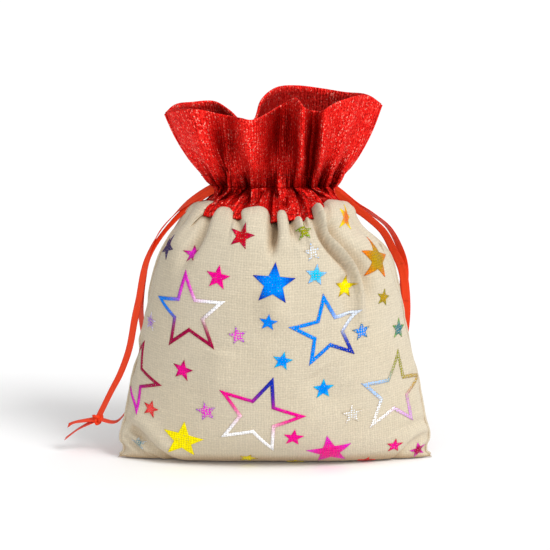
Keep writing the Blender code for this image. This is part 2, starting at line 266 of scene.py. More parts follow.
def starting_shape(v):
    """Grid of points (rows, columns, 3): the filled outline, pleated at the neck and waved at the rim."""
    ring, rim = neck_ring(), rim_ring()
    grid = np.zeros((len(v), LOOP_COLUMNS, 3))
    for j, (z, hw, hd, pointed) in enumerate(station_at(v)):
        x, y = even_ring(hw, hd, pointed, PANEL_COLUMNS)
        loft = joined(np.stack([x, y], -1), np.stack([x, -y], -1))
        grow = np.array([hw / NECK_HALF_WIDTH, hd / NECK_HALF_DEPTH])
        pleated = ring * (1 + (grow - 1) * 0.75)
        if v[j] <= V_NECK:
            keep = math.exp(-((V_NECK - v[j]) / 16.0) ** 1.5)
            plan = loft + keep * (pleated - loft)
        else:
            up = (v[j] - V_NECK) / (V_RIM - V_NECK)
            keep = math.exp(-(up / 0.35) ** 1.5)
            waves = rim[:, :2] * np.array([hw / RIM_HALF_WIDTH, hd / RIM_HALF_DEPTH])
            plan = waves + keep * (pleated - waves)
        grid[j, :, :2] = plan
        grid[j, :, 2] = z
    return grid


# Cloth solver

def pull(a, b, rest, wa, wb, stiffness):
    """Moves two sets of points towards their rest distance."""
    gap = b - a
    length = np.sqrt((gap * gap).sum(-1)) + 1e-9
    push = (stiffness * (length - rest) / length / np.maximum(wa + wb, 1e-9))[..., None] * gap
    return a + wa[..., None] * push, b - wb[..., None] * push


def relax_columns(p, w, rest, span, stiffness):
    """Distance constraints between columns i and i + span, round the closed loop."""
    n = p.shape[1]
    for start in range(2 * span):
        first = np.arange(start, n, 2 * span)
        second = (first + span) % n
        a, b = pull(p[:, first], p[:, second], rest[:, first], w[:, first], w[:, second], stiffness)
        p[:, first] = a
        p[:, second] = b


def relax_rows(p, w, rest, span, stiffness):
    """Distance constraints between rows i and i + span."""
    n = p.shape[0]
    for start in range(2 * span):
        first = np.arange(start, n - span, 2 * span)
        second = first + span
        a, b = pull(p[first], p[second], rest[first], w[first], w[second], stiffness)
        p[first] = a
        p[second] = b


def relax_diagonals(p, w, rest, stiffness):
    """Distance constraints between each point and the two diagonally above it."""
    n = p.shape[0]
    for start in (0, 1):
        first = np.arange(start, n - 1, 2)
        for shift in (1, -1):
            upper = np.roll(p[first + 1], -shift, axis=1)
            upper_w = np.roll(w[first + 1], -shift, axis=1)
            a, b = pull(p[first], upper, rest, w[first], upper_w, stiffness)
            p[first] = a
            p[first + 1] = np.roll(b, shift, axis=1)


def filled_size(x, z, profile):
    """Half depth of the filled outline at x and z, and its half width at z."""
    heights, hw, hd, pointed = profile
    wide = np.interp(z, heights, hw)
    deep = np.interp(z, heights, hd)
    power = np.interp(z, heights, pointed)
    inside = np.clip(1 - (x / wide) ** 2, 0, 1)
    return deep * inside ** power, wide


def grid_normals(p):
    around = np.roll(p, -1, axis=1) - np.roll(p, 1, axis=1)
    normal = np.cross(around, np.gradient(p, axis=0))
    return normal / (np.linalg.norm(normal, axis=-1, keepdims=True) + 1e-9)


def drape(v, steps, sweeps):
    """Lets the cloth settle round its contents, with the neck pleats held by the drawstring."""
    p = starting_shape(v)
    neck = round(V_NECK / DV)
    loose = np.ones((ROWS + 1, LOOP_COLUMNS))
    loose[[0, neck]] = 0.0
    p[neck, :, 2] = NECK_Z
    rim_plan = p[-1, :, :2].copy()

    # Rest lengths: the cloth is eased at the side seams and fuller towards the rim
    lofted = np.linalg.norm(np.diff(p, axis=0), axis=-1)
    seam_ease = np.abs(np.cos(np.linspace(0, 2 * math.pi, LOOP_COLUMNS, endpoint=False))) ** 4
    up_rest = np.full((ROWS + 1, LOOP_COLUMNS), DV)
    up_rest[:-1] = DV * (1 - seam_ease * (1 - np.clip(lofted / DV, 0.80, 1.0)) * 0.75)
    up_rest[neck:] = DV
    rise = np.clip((v - V_NECK) / (V_RIM - V_NECK), 0, 1)
    round_rest = DU * (1 + (RIM_FULLNESS - 1) * rise)[:, None] * np.ones(LOOP_COLUMNS)
    slant = math.hypot(DU, DV)

    profile = np.array(STATIONS)[1:].T
    column = np.arange(LOOP_COLUMNS)[None, :]
    facing = np.where(column < PANEL_COLUMNS, -1.0, 1.0)
    seam = column % PANEL_COLUMNS == 0
    side = np.where(column == 0, -1.0, 1.0)
    inner_neck = -6.0 * (v > V_NECK)[:, None]

    # How far the cloth may stand inside and outside the filled outline, how hard the contents press,
    # and its weight
    stops = [0, 20, 90, 125, V_CUFF, V_NECK, V_NECK + 12, V_RIM]
    slack_in = np.interp(v, stops, [0.6, 1.0, 1.6, 5.0, 9.0, 9.0, 14.0, 24.0])[:, None]
    slack_out = np.interp(v, stops, [1.0, 1.5, 1.5, 2.5, 4.5, 6.0, 7.0, 8.0])[:, None]
    stops = [0, 17, 30, 110, 140, V_CUFF, V_NECK, V_RIM]
    swell = np.interp(v, stops, [0, 0, 0.010, 0.012, 0.030, 0.030, 0.0, 0.0])
    weight = np.interp(v, [0, 20, V_CUFF, V_NECK, V_RIM], [0.0, 0.002, 0.004, 0.002, 0.002])

    before = p.copy()
    for step in range(steps):
        cooling = 1 - 0.7 * step / steps
        velocity = (p - before) * 0.86
        before = p.copy()
        force = grid_normals(p) * swell[:, None, None]
        force[..., 2] -= weight[:, None]
        p = p + loose[..., None] * (velocity + force * cooling * 4)
        for _ in range(sweeps):
            relax_columns(p, loose, round_rest, 1, 0.9)
            relax_rows(p, loose, up_rest, 1, 0.9)
            relax_diagonals(p, loose, slant, 0.12)
            relax_columns(p, loose, 2 * round_rest, 2, 0.10)
            relax_rows(p, loose, 2 * up_rest, 2, 0.16)
            relax_rows(p, loose, 4 * up_rest, 4, 0.06)
        p[-1, :, :2] += 0.5 * (rim_plan - p[-1, :, :2])
        deep, wide = filled_size(p[..., 0], p[..., 2], profile)
        out = facing * p[..., 1]
        nearest = np.where(seam, 0.0, np.maximum(deep - slack_in, inner_neck))
        target = np.where(seam, 0.0, np.clip(out, nearest, deep + slack_out))
        soft = 0.5 * loose
        p[..., 1] += soft * facing * (target - out)
        edge = wide + 0.4
        p[..., 0] += soft * (np.clip(p[..., 0], -edge, edge) - p[..., 0])
        p[..., 0] += np.where(seam, 0.3 * loose * (side * wide - p[..., 0]), 0.0)
        p[..., 2] += soft * (np.maximum(p[..., 2], 0.5) - p[..., 2])
    for _ in range(2):
        mean = (np.roll(p, 1, 1) + np.roll(p, -1, 1)) / 2
        p += 0.25 * loose[..., None] * (mean - p)
        mean = p.copy()
        mean[1:-1] = (p[2:] + p[:-2]) / 2
        p += 0.25 * loose[..., None] * (mean - p)
    return p


# Smooth surface over the solved grid

def spline_weights(t):
    """Weights of the four control points nearest to a place, at share t between the middle two."""
    weights = [(1 - t) ** 3, 3 * t ** 3 - 6 * t ** 2 + 4, -3 * t ** 3 + 3 * t ** 2 + 3 * t + 1, t ** 3]
    return np.stack(weights, -1) / 6


def padded(grid):
    """Adds one row and column beyond each edge, so that the spline passes through the edges."""
    grid = np.concatenate([2 * grid[:1] - grid[1:2], grid, 2 * grid[-1:] - grid[-2:-1]])
    return np.concatenate([2 * grid[:, :1] - grid[:, 1:2], grid, 2 * grid[:, -1:] - grid[:, -2:-1]], axis=1)


class Surface:
    """Cubic B-spline surface of one panel, in cloth coordinates u and v (millimetres)."""

    def __init__(self, grid, across, up):
        self.rows, self.columns = grid.shape[0] - 1, grid.shape[1] - 1
        self.across, self.up = across, up
        self.control = padded(grid)

    def at(self, u, v):
        """Points at cloth coordinates."""
        fu = np.clip(np.asarray(u, float) / self.across, 0, self.columns)
        fv = np.clip(np.asarray(v, float) / self.up, 0, self.rows)
        i = np.minimum(fu.astype(int), self.columns - 1)
        j = np.minimum(fv.astype(int), self.rows - 1)
        wu, wv = spline_weights(fu - i), spline_weights(fv - j)
        total = np.zeros(np.shape(fu) + (3,))
        for a in range(4):
            for b in range(4):
                total += (wv[..., a] * wu[..., b])[..., None] * self.control[j + a, i + b]
        return total

    def normal(self, u, v):
        h = 0.3
        across = self.at(np.add(u, h), v) - self.at(np.subtract(u, h), v)
        up = self.at(u, np.add(v, h)) - self.at(u, np.subtract(v, h))
        n = np.cross(across, up)
        return n / (np.linalg.norm(n, axis=-1, keepdims=True) + 1e-12)



# Gathers and folds

# Puffs of linen over the red channel, round the whole sack: from u, to u, and how far up each reaches
SCALLOPS = [
    (-12.0, 4.0, 6.0), (-6.0, 36.5, 12.5), (34.0, 52.6, 6.2), (53.0, 72.6, 8.5), (73.6, 81.8, 6.0),
    (82.2, 88.4, 0.5), (88.6, 92.0, 1.5), (92.2, 98.6, 5.2), (97.0, 146.0, 10.5), (142.0, 164.0, 6.0),
    (161.0, 184.0, 9.0), (184.6, 203.0, 5.0), (203.6, 221.0, 8.0), (221.6, 238.0, 4.0), (238.6, 259.0, 8.5),
    (259.6, 274.0, 5.0), (273.0, 290.0, 9.0),
]
# Folds of each panel: height (a valley is below zero), half width, and the line, from the gathers down
FRONT_FOLDS = [
    (-7.0, 1.9, [(73, 143), (73.3, 136), (73.5, 128), (73, 121), (72, 114)]),
    (-4.6, 3.2, [(39, 144), (39, 137), (38, 129), (35.5, 120), (31, 110), (27, 101)]),
    (1.4, 5.0, [(28, 140), (26, 130), (23, 119), (20, 108)]),
    (-3.4, 2.0, [(53, 141), (54.5, 136), (57.5, 129), (59, 121)]),
    (5.2, 1.7, [(95, 142), (96.5, 134), (99.5, 125), (104.5, 117), (109.5, 110), (112.5, 102),
                (113.5, 93), (112.5, 83), (110.5, 74)]),
    (-3.8, 1.3, [(92.5, 141), (94.1, 133.2), (97.1, 124), (102.3, 115.5), (107.3, 108.6), (110.0, 101.2),
                 (111.0, 93)]),
    (-2.4, 4.0, [(104, 106), (107, 99), (108, 91), (107, 83), (105, 74)]),
    (-4.4, 4.2, [(101.6, 130), (104, 125), (107.8, 119.2), (112.8, 112), (116.2, 103), (117.3, 93),
                 (116.2, 82)]),
    (1.8, 2.0, [(85, 136), (87, 130), (90.5, 124), (93, 117)]),
    (-3.6, 1.6, [(82, 139), (82.5, 133), (84, 126), (86.5, 119)]),
    (-2.4, 1.5, [(88.5, 137), (89.5, 130), (92, 122)]),
    (-1.2, 4.5, [(124, 140), (129, 130), (131, 118), (131, 104)]),
    (2.6, 6.0, [(74, 104), (75, 92), (76, 82)]),
    (1.7, 4.6, [(6, 32), (14, 29), (23, 22.5), (33, 14), (41, 7)]),
    (-2.6, 3.0, [(5, 24.5), (10, 22.5), (16, 19), (23, 13.5), (30, 8), (36, 3)]),
    (-1.5, 7.0, [(92, 64), (99, 52), (104, 40)]),
    (1.4, 8.0, [(52, 74), (50, 60), (46, 46)]),
]
BACK_FOLDS = [
    (-3.2, 2.4, [(34, 142), (35, 132), (37, 121), (40, 108)]),
    (-2.6, 2.0, [(53, 141), (54, 132), (53, 122)]),
    (3.0, 4.0, [(44, 140), (46, 126), (50, 110), (54, 94)]),
    (-4.2, 2.2, [(71, 142), (71.5, 131), (73, 119), (76, 106)]),
    (-2.6, 1.8, [(88, 141), (87, 131), (85, 121)]),
    (3.0, 4.5, [(99, 141), (97, 127), (92, 111), (88, 95)]),
    (-3.4, 2.4, [(109, 142), (108, 131), (105, 119), (100, 104)]),
    (-2.6, 2.4, [(124, 142), (123, 131), (120, 118)]),
    (-2.0, 8.0, [(60, 70), (66, 54), (70, 38)]),
    (1.6, 8.0, [(100, 66), (96, 52), (94, 36)]),
]
# Stretches of each panel whose top is one broad smooth flap, from u to u
FRONT_FLAPS = [(99.0, 152.0)]
BACK_FLAPS = []
FLAP_LIFT = 2.3            # a flap stands off the red channel under it by this much more
SHOULDER_Z = 113.0
SLIM_LEFT, SLIM_RIGHT = -2.0, 8.5


def gathers(loop_u):
    """How far up the linen reaches over the red channel, and how much it puffs, at places round the sack."""
    rise = np.zeros_like(loop_u)
    hump = np.zeros_like(loop_u)
    for low, high, height in SCALLOPS:
        for turn in (-2 * PANEL_WIDTH, 0.0, 2 * PANEL_WIDTH):
            share = np.clip((loop_u - turn - low) / (high - low), 0, 1)
            arch = (4 * share * (1 - share)) ** 0.38
            rise = np.maximum(rise, height * arch)
            hump = np.maximum(hump, arch)
    return rise, hump


def evened(place, half):
    """The grid with each row smoothed over half columns to each side."""
    kernel = np.hanning(2 * half + 1)
    padding = np.pad(place, ((0, 0), (half, half), (0, 0)), mode="edge")
    return sum(k * padding[:, i:i + place.shape[1]] for i, k in enumerate(kernel)) / kernel.sum()


def linen_surface(coarse, folds, flaps, first):
    """The panel's surface at twice the detail, with puffed gathers, broad smooth flaps and pressed folds."""
    u = np.arange(2 * PANEL_COLUMNS + 1) * DU / 2
    v = np.arange(2 * ROWS + 1) * DV / 2
    uu, vv = np.meshgrid(u, v)
    rise, hump = gathers(u + first)
    share = np.clip((vv - V_ROLL) / (V_CUFF + rise - V_ROLL), 0, 1)
    out = (0.1 + 2.3 * hump) * np.sin(math.pi * share ** 2.2) ** 0.8 - 1.0 * smoothstep((share - 0.86) / 0.14)
    fade = np.minimum(1, np.minimum(uu, PANEL_WIDTH - uu) / 7.0)[..., None]
    place = coarse.at(uu, vv)
    top = smoothstep((vv - V_ROLL + 8.0) / 16.0)
    place = place + 0.85 * fade * top[..., None] * (evened(place, 11) - place)
    for low, high in flaps:
        inside = smoothstep((uu - low) / 8.0) * smoothstep((high - uu) / 14.0)
        place = place + fade * (inside * top)[..., None] * (evened(place, 26) - place)
        out += FLAP_LIFT * inside * top
    normal = Surface(place, DU / 2, DV / 2).normal(uu, vv)
    place = place + out[..., None] * normal
    for height, width, line in folds:
        line = smooth_line(line)
        gap = np.stack([uu, vv], -1)[..., None, :] - line
        distance = (gap ** 2).sum(-1)
        nearest = distance.argmin(-1)
        distance = np.sqrt(distance.min(-1))
        along_line = nearest / (len(line) - 1)
        strength = np.exp(-(distance / width) ** 2) * smoothstep(along_line / 0.12 + 0.3)
        strength *= smoothstep((1 - along_line) / 0.5)
        place = place + fade * (height * strength)[..., None] * normal
    return Surface(place, DU / 2, DV / 2)


def slim_shoulders(p):
    """Narrows both shoulders under the ribbons, the right one more."""
    band = np.exp(-((p[..., 2] - SHOULDER_Z) / 9.0) ** 2)
    side = np.clip(np.abs(p[..., 0]) / 44.0, 0, 1) ** 2
    p[..., 0] -= band * side * np.where(p[..., 0] > 0, SLIM_RIGHT, SLIM_LEFT)


def crinkle_channel(p, v):
    """Small tight pleats in the red channel, fading out above the drawstring."""
    u = np.arange(LOOP_COLUMNS) * DU
    wave = np.sin(2 * math.pi * u / 4.3 + 1.5 * np.sin(u / 9.0)) + 0.5 * np.sin(2 * math.pi * u / 7.1 + 1.0)
    band = smoothstep((v - V_CUFF + 4) / 6) * (1 - smoothstep((v - V_NECK - 1) / 8))
    p += (0.75 * band[:, None] * wave)[..., None] * grid_normals(p)


def flare_cuff(p, v):
    """Straightens the cuff's pleats into ridges that run from the drawstring to the shaped rim."""
    neck = round(V_NECK / DV)
    ring, rim = p[neck].copy(), rim_ring()
    kernel = np.hanning(25)
    kernel /= kernel.sum()
    wrapped = np.concatenate([ring[-12:], ring, ring[:12]])
    even = np.stack([np.convolve(wrapped[:, k], kernel, mode="valid") for k in range(2)], -1)
    share = ((v[neck:] - v[neck]) / (V_RIM - v[neck]))[:, None, None]
    flare = ((share + 0.02) ** 0.62 - 0.02 ** 0.62) / (1.02 ** 0.62 - 0.02 ** 0.62)
    pleats = (ring[:, :2] - even)[None] * np.exp(-(share / 0.42) ** 1.3)
    ruled = even[None] * (1 - flare) + rim[None, :, :2] * flare + pleats
    wide = np.hanning(55) / np.hanning(55).sum()
    depths = np.concatenate([rim[-27:, 1], rim[:, 1], rim[:27, 1]])
    waves = rim[:, 1] - np.convolve(depths, wide, mode="valid")
    ruled[..., 1] += 0.55 * np.sin(math.pi * share[..., 0]) * waves
    hold = 1 - 0.1 * np.sin(math.pi * share) ** 0.5
    cuff = p[neck:]
    cuff[..., :2] += hold * (ruled - cuff[..., :2])
    height = (cuff[..., 2] - NECK_Z) / (cuff[-1, :, 2] - NECK_Z)
    rise = 0.5 * height + 0.5 * share[..., 0]
    cuff[..., 2] = NECK_Z + rise * (rim[:, 2] - NECK_Z)


# Sheets of cloth

def mesh_object(name, verts, faces, uv, material, smooth_faces=None):
    """Object from quads or triangles, with one UV pair in millimetres for each vertex."""
    faces = np.asarray(faces)
    sides = faces.shape[1]
    mesh = bpy.data.meshes.new(name)
    mesh.vertices.add(len(verts))
    mesh.vertices.foreach_set("co", (np.asarray(verts) * MM).astype(np.float32).ravel())
    mesh.loops.add(faces.size)
    mesh.loops.foreach_set("vertex_index", faces.astype(np.int32).ravel())
    mesh.polygons.add(len(faces))
    mesh.polygons.foreach_set("loop_start", np.arange(0, faces.size, sides, dtype=np.int32))
    mesh.update(calc_edges=True)
    layer = mesh.uv_layers.new(name="cloth")
    layer.data.foreach_set("uv", np.asarray(uv)[faces.ravel()].astype(np.float32).ravel())
    mesh.polygons.foreach_set("use_smooth", np.arange(len(faces)) < (smooth_faces or len(faces)))
    mesh.validate()
    mesh.materials.append(material)
    obj = bpy.data.objects.new(name, mesh)
    bpy.context.scene.collection.objects.link(obj)
    return obj


def swept_faces(rings, count, closed=False):
    """Quads of a tube through rings of count vertices, open or joined end to end."""
    i = np.arange(rings if closed else rings - 1)[:, None]
    here, there = i * count, (i + 1) % rings * count
    j = np.arange(count)[None, :]
    k = (j + 1) % count
    return np.stack([here + j, here + k, there + k, there + j], -1).reshape(-1, 4)


def capped_sweep(name, rings, uv, material):
    """Closed body through rings of points, shape (rings, around, 3), with a flat cap of quads at each end."""
    count = rings.shape[1]
    k = np.arange(count // 2 - 1)
    cap = np.stack([-k % count, k + 1, k + 2, count - 1 - k], -1)
    sides = swept_faces(len(rings), count)
    faces = np.concatenate([sides, cap[:, ::-1], cap + (len(rings) - 1) * count])
    return mesh_object(name, rings.reshape(-1, 3), faces, uv.reshape(-1, 2), material, len(sides))


def sheet(name, surface, u, v, thickness, lift, material, folded=False):
    """Closed sheet over cloth coordinates u by v. A folded one turns over in a half round at its top."""
    uu, vv = (np.broadcast_to(u, v.shape), v) if v.ndim == 2 else np.meshgrid(u, v)
    normal = surface.normal(uu, vv)
    outer = surface.at(uu, vv) + lift * normal
    inner = outer - thickness * normal
    coords = np.stack([uu, vv], -1)
    reverse = coords
    layers, uvs = [outer], [coords]
    if folded:
        up = unit(outer[-1] - outer[-2])
        middle = (outer[-1] + inner[-1]) / 2
        for step in range(1, 5):
            angle = math.pi * step / 5
            bow = thickness / 2 * (math.cos(angle) * normal[-1] + math.sin(angle) * up)
            layers.append((middle + bow)[None])
            uvs.append(coords[-1:] + np.array([0.0, thickness * step / 5]))
        reverse = np.stack([uu, 2 * V_RIM + thickness - vv], -1)
    grid = np.concatenate(layers + [inner[::-1]])
    uv = np.concatenate(uvs + [reverse[::-1]])
    rows, columns = grid.shape[:2]
    index = np.arange(rows * columns).reshape(rows, columns)
    faces = [np.stack([index[:-1, :-1], index[:-1, 1:], index[1:, 1:], index[1:, :-1]], -1).reshape(-1, 4)]
    faces.append(np.stack([index[-1, :-1], index[-1, 1:], index[0, 1:], index[0, :-1]], -1))
    k = np.arange(rows // 2 - 1)
    for column, flip in ((0, False), (columns - 1, True)):
        line = index[:, column]
        edge = np.stack([line[k], line[k + 1], line[rows - 2 - k], line[rows - 1 - k]], -1)
        faces.append(edge[:, ::-1] if flip else edge)
    return mesh_object(name, grid.reshape(-1, 3), np.concatenate(faces), uv.reshape(-1, 2), material)


def square_to(direction, tangent):
    """The direction, made square to each tangent."""
    return unit(direction - (tangent * direction).sum(1, keepdims=True) * tangent)


def cord(name, line, outwards, half_out, half_across, material):
    """Rounded seam ridge along a line."""
    tangent = unit(np.gradient(line, axis=0))
    out = square_to(np.array(outwards), tangent)
    across = np.cross(tangent, out)
    angle = np.linspace(0, 2 * math.pi, 12, endpoint=False)[:, None, None]
    rings = line + half_out * np.cos(angle) * out + half_across * np.sin(angle) * across
    around = np.linspace(0, 5, 12)[:, None] * np.ones(len(line))
    uv = np.stack([around, np.ones((12, 1)) * run_along(line)], -1)
    return capped_sweep(name, rings.transpose(1, 0, 2), uv.transpose(1, 0, 2), material)


def stitch_row(name, surface, v, lift, material):
    """Running stitch along one line of the cloth: short lengths of thread with gaps between them."""
    pitch, length, radius = 3.1, 2.2, 0.20
    starts = np.arange(4.0, PANEL_WIDTH - 6.0, pitch)
    along = np.array([0.0, 0.12, 0.5, 0.88, 1.0])
    swell = np.array([0.25, 0.8, 1.0, 0.8, 0.25])
    u = starts[:, None] + length * along
    place = surface.at(u, v + 0 * u)
    normal = surface.normal(u, v + 0 * u)
    across = np.cross(unit(np.gradient(place, axis=1)), normal)
    place = place + (lift + 0.7 * radius * swell)[None, :, None] * normal
    angle = np.linspace(0, 2 * math.pi, 8, endpoint=False)
    ring = np.cos(angle)[:, None] * normal[:, :, None] - np.sin(angle)[:, None] * across[:, :, None]
    verts = place[:, :, None] + radius * swell[:, None, None] * ring
    body = swept_faces(5, 8)
    first = np.array([[0, 7, 6, 5], [0, 5, 4, 3], [0, 3, 2, 1]])
    last = np.array([[32, 33, 34, 35], [32, 35, 36, 37], [32, 37, 38, 39]])
    one = np.concatenate([body, first, last])
    faces = (one[None] + 40 * np.arange(len(starts))[:, None, None]).reshape(-1, 4)
    turns = np.broadcast_to(angle * radius, verts.shape[:3])
    uv = np.stack([np.broadcast_to(u[:, :, None], verts.shape[:3]), turns], -1)
    return mesh_object(name, verts.reshape(-1, 3), faces, uv.reshape(-1, 2), material)


# Ribbons

RIBBON_WIDTH = 4.2
RIBBON_THICKNESS = 0.3
TUCKED = 3                 # rings that a run of ribbon starts with inside the run before it
JOINTS = {joint["name"]: joint for joint in frame["joints"]}


class RibbonPlane:
    """The upright plane that one ribbon loop hangs in, from its three joints."""

    def __init__(self, name):
        self.centre = np.array(JOINTS[name + "_ribbon_draw"]["pos_m"]) / MM
        self.hang = np.array(JOINTS[name + "_ribbon_hang"]["pos_m"]) / MM
        self.swing = np.array(JOINTS[name + "_tail_swing"]["pos_m"]) / MM
        out = self.hang - self.centre
        self.radius = np.linalg.norm(out)
        out[2] = 0.0
        self.out = out / np.linalg.norm(out)
        self.up = np.array([0.0, 0.0, 1.0])
        self.towards_front = np.cross(self.out, self.up)
        if self.towards_front[1] > 0:
            self.towards_front = -self.towards_front

    def on_arc(self, degrees, outwards, forwards):
        angle = math.radians(degrees)
        reach = self.radius + outwards
        arm = math.cos(angle) * self.out + math.sin(angle) * self.up
        return self.centre + reach * arm + forwards * self.towards_front

    def on_drop(self, height, outwards, forwards):
        """Point at a height on the line through the lower two joints, moved outwards and forwards."""
        share = (height - self.hang[2]) / (self.swing[2] - self.hang[2])
        line = self.hang + share * (self.swing - self.hang)
        return line + outwards * self.out + forwards * self.towards_front


# Each strand: angle on the arc or height on the drop, then the shift outwards and towards the front, and the
# twist, where 0 shows the flat face to the front and 90 the edge
ARC_STRANDS = {
    "left_front": [(93, -0.3, 0.3, 0), (84, -1.8, 0.5, 30), (66, -6.0, 0.8, 46), (50, -7.8, 0.9, 54),
                   (32, -7.8, 0.6, 58), (14, -5.8, 0.5, 45), (0, -4.0, 0.6, 32)],
    "left_back": [(93, -0.2, -0.3, 0), (84, -1.0, -0.2, 20), (66, -4.4, -0.4, 50), (50, -5.8, -0.6, 84),
                  (32, -5.9, -0.5, 88), (14, -5.2, -0.5, 60), (0, -4.0, -0.5, 35)],
    "right_front": [(93, -0.5, 0.3, 0), (84, -3.4, 0.5, 24), (66, -8.0, 0.8, 40), (50, -8.6, 1.0, 50),
                    (32, -7.2, 0.8, 52), (14, -5.6, 0.5, 50), (0, -2.2, 0.5, 40)],
    "right_back": [(93, -0.2, -0.3, 0), (84, -2.2, -0.2, 20), (66, -6.6, -0.4, 45), (50, -5.8, -0.5, 74),
                   (32, -3.3, -0.4, 78), (14, -1.6, -0.5, 66), (0, -0.5, -0.5, 38)],
}
DROP_STRANDS = {
    "left_front": [(76, -3.7, 0.5, 28), (66, -4.2, 0.4, 28), (52, -5.4, 0.5, 32), (40, -4.4, 0.4, 38),
                   (30, -2.0, 0.2, 44)],
    "left_back": [(78, -3.7, -0.8, 25), (68, -5.4, -5.0, 35), (54, -9.5, -10.5, 40), (38, -13.0, -12.0, 60),
                  (24, -12.0, -8.0, 75), (15.5, -8.5, -2.0, 82)],
    "right_front": [(78, -0.8, 0.5, 34), (66, -1.8, 0.4, 32), (52, -4.5, -1.0, 30), (38, -8.0, -2.6, 26),
                    (27, -9.5, -3.2, 30)],
    "right_back": [(78, -1.2, -0.5, 32), (66, -2.6, -0.8, 30), (52, -5.5, -2.4, 35), (38, -9.0, -3.8, 35),
                   (27, -10.5, -3.8, 30)],
}


def ribbon_strip(name, path, plane_normal, material, part=slice(None), standing=False):
    """Part of a flat strip along a path of points with a twist: slightly cupped, with rounded edges."""
    place = path[:, :3]
    tangent = unit(np.gradient(place, axis=0))
    level = square_to(plane_normal, tangent)
    radial = np.cross(level, tangent)
    if standing:
        radial = np.array([0.0, 0.0, 1.0]) + 0 * tangent
        level = np.cross(tangent, radial)
    twist = np.radians(path[:, 3:4])
    wide = np.cos(twist) * radial + np.sin(twist) * level
    deep = np.cross(tangent, wide)
    across = np.array([1.0, 0.94, 0.5, 0.0, -0.5, -0.94, -1.0, -0.94, -0.5, 0.0, 0.5, 0.94])
    height = np.array([0.0, 0.8, 1.0, 1.0, 1.0, 0.8, 0.0, -0.8, -1.0, -1.0, -1.0, -0.8])
    height = height * RIBBON_THICKNESS / 2
    cup = 0.22 * (across ** 2 - 0.4)
    rings = place[:, None] + (RIBBON_WIDTH / 2 * across)[None, :, None] * wide[:, None]
    rings = rings + (height + cup)[None, :, None] * deep[:, None]
    run = run_along(place)
    uv = np.stack([run[:, None] + 0 * across, RIBBON_WIDTH / 2 * across + 0 * run[:, None]], -1)
    rings, uv, place = rings[part], uv[part], place[part]
    if part.start:
        rings[:TUCKED] = place[:TUCKED, None] + 0.8 * (rings[:TUCKED] - place[:TUCKED, None])
    return capped_sweep(name, rings, uv, material)


def knot_mesh(name, centre, plane, material):
    """Overhand knot: one closed run of crumpled ribbon along a trefoil."""
    steps, around = 84, 12
    t = np.linspace(0, 2 * math.pi, steps, endpoint=False)
    along_out = 0.72 * (np.sin(t) + 2 * np.sin(2 * t))
    along_up = 0.72 * (np.cos(t) - 2 * np.cos(2 * t))
    depth = -1.0 * np.sin(3 * t)
    place = centre + along_out[:, None] * plane.out + along_up[:, None] * plane.up
    place = place + depth[:, None] * plane.towards_front
    tangent = unit(np.roll(place, -1, axis=0) - np.roll(place, 1, axis=0))
    level = square_to(plane.towards_front, tangent)
    radial = np.cross(level, tangent)
    turn = 3 * t[:, None]
    wide = np.cos(turn) * radial + np.sin(turn) * level
    deep = np.cross(tangent, wide)
    angle = np.linspace(0, 2 * math.pi, around, endpoint=False)
    crumple = 1 + 0.16 * np.sin(5 * t)[:, None, None] * np.cos(3 * angle)[None, :, None]
    ring = np.cos(angle)[:, None] * wide[:, None] + 0.64 * np.sin(angle)[:, None] * deep[:, None]
    verts = place[:, None] + crumple * ring
    faces = swept_faces(steps, around, closed=True)
    run = np.linspace(0, 34, steps)[:, None] + 0 * angle
    uv = np.stack([run, np.cos(angle)[None, :] * 2 + 0 * run], -1)
    return mesh_object(name, verts.reshape(-1, 3), faces, uv.reshape(-1, 2), material)


# From the CAD's knot to the one seen here, and how much longer the cut ends are than the CAD's
KNOT_SHIFT = {"left": np.array([-2.2, 0.0, -4.6]), "right": np.array([-8.0, 4.5, 0.0])}
END_LENGTH = {1: 14.0, 2: 6.0}


def box_centre(node):
    low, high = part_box(node)
    return np.array((low + high) / 2) / MM


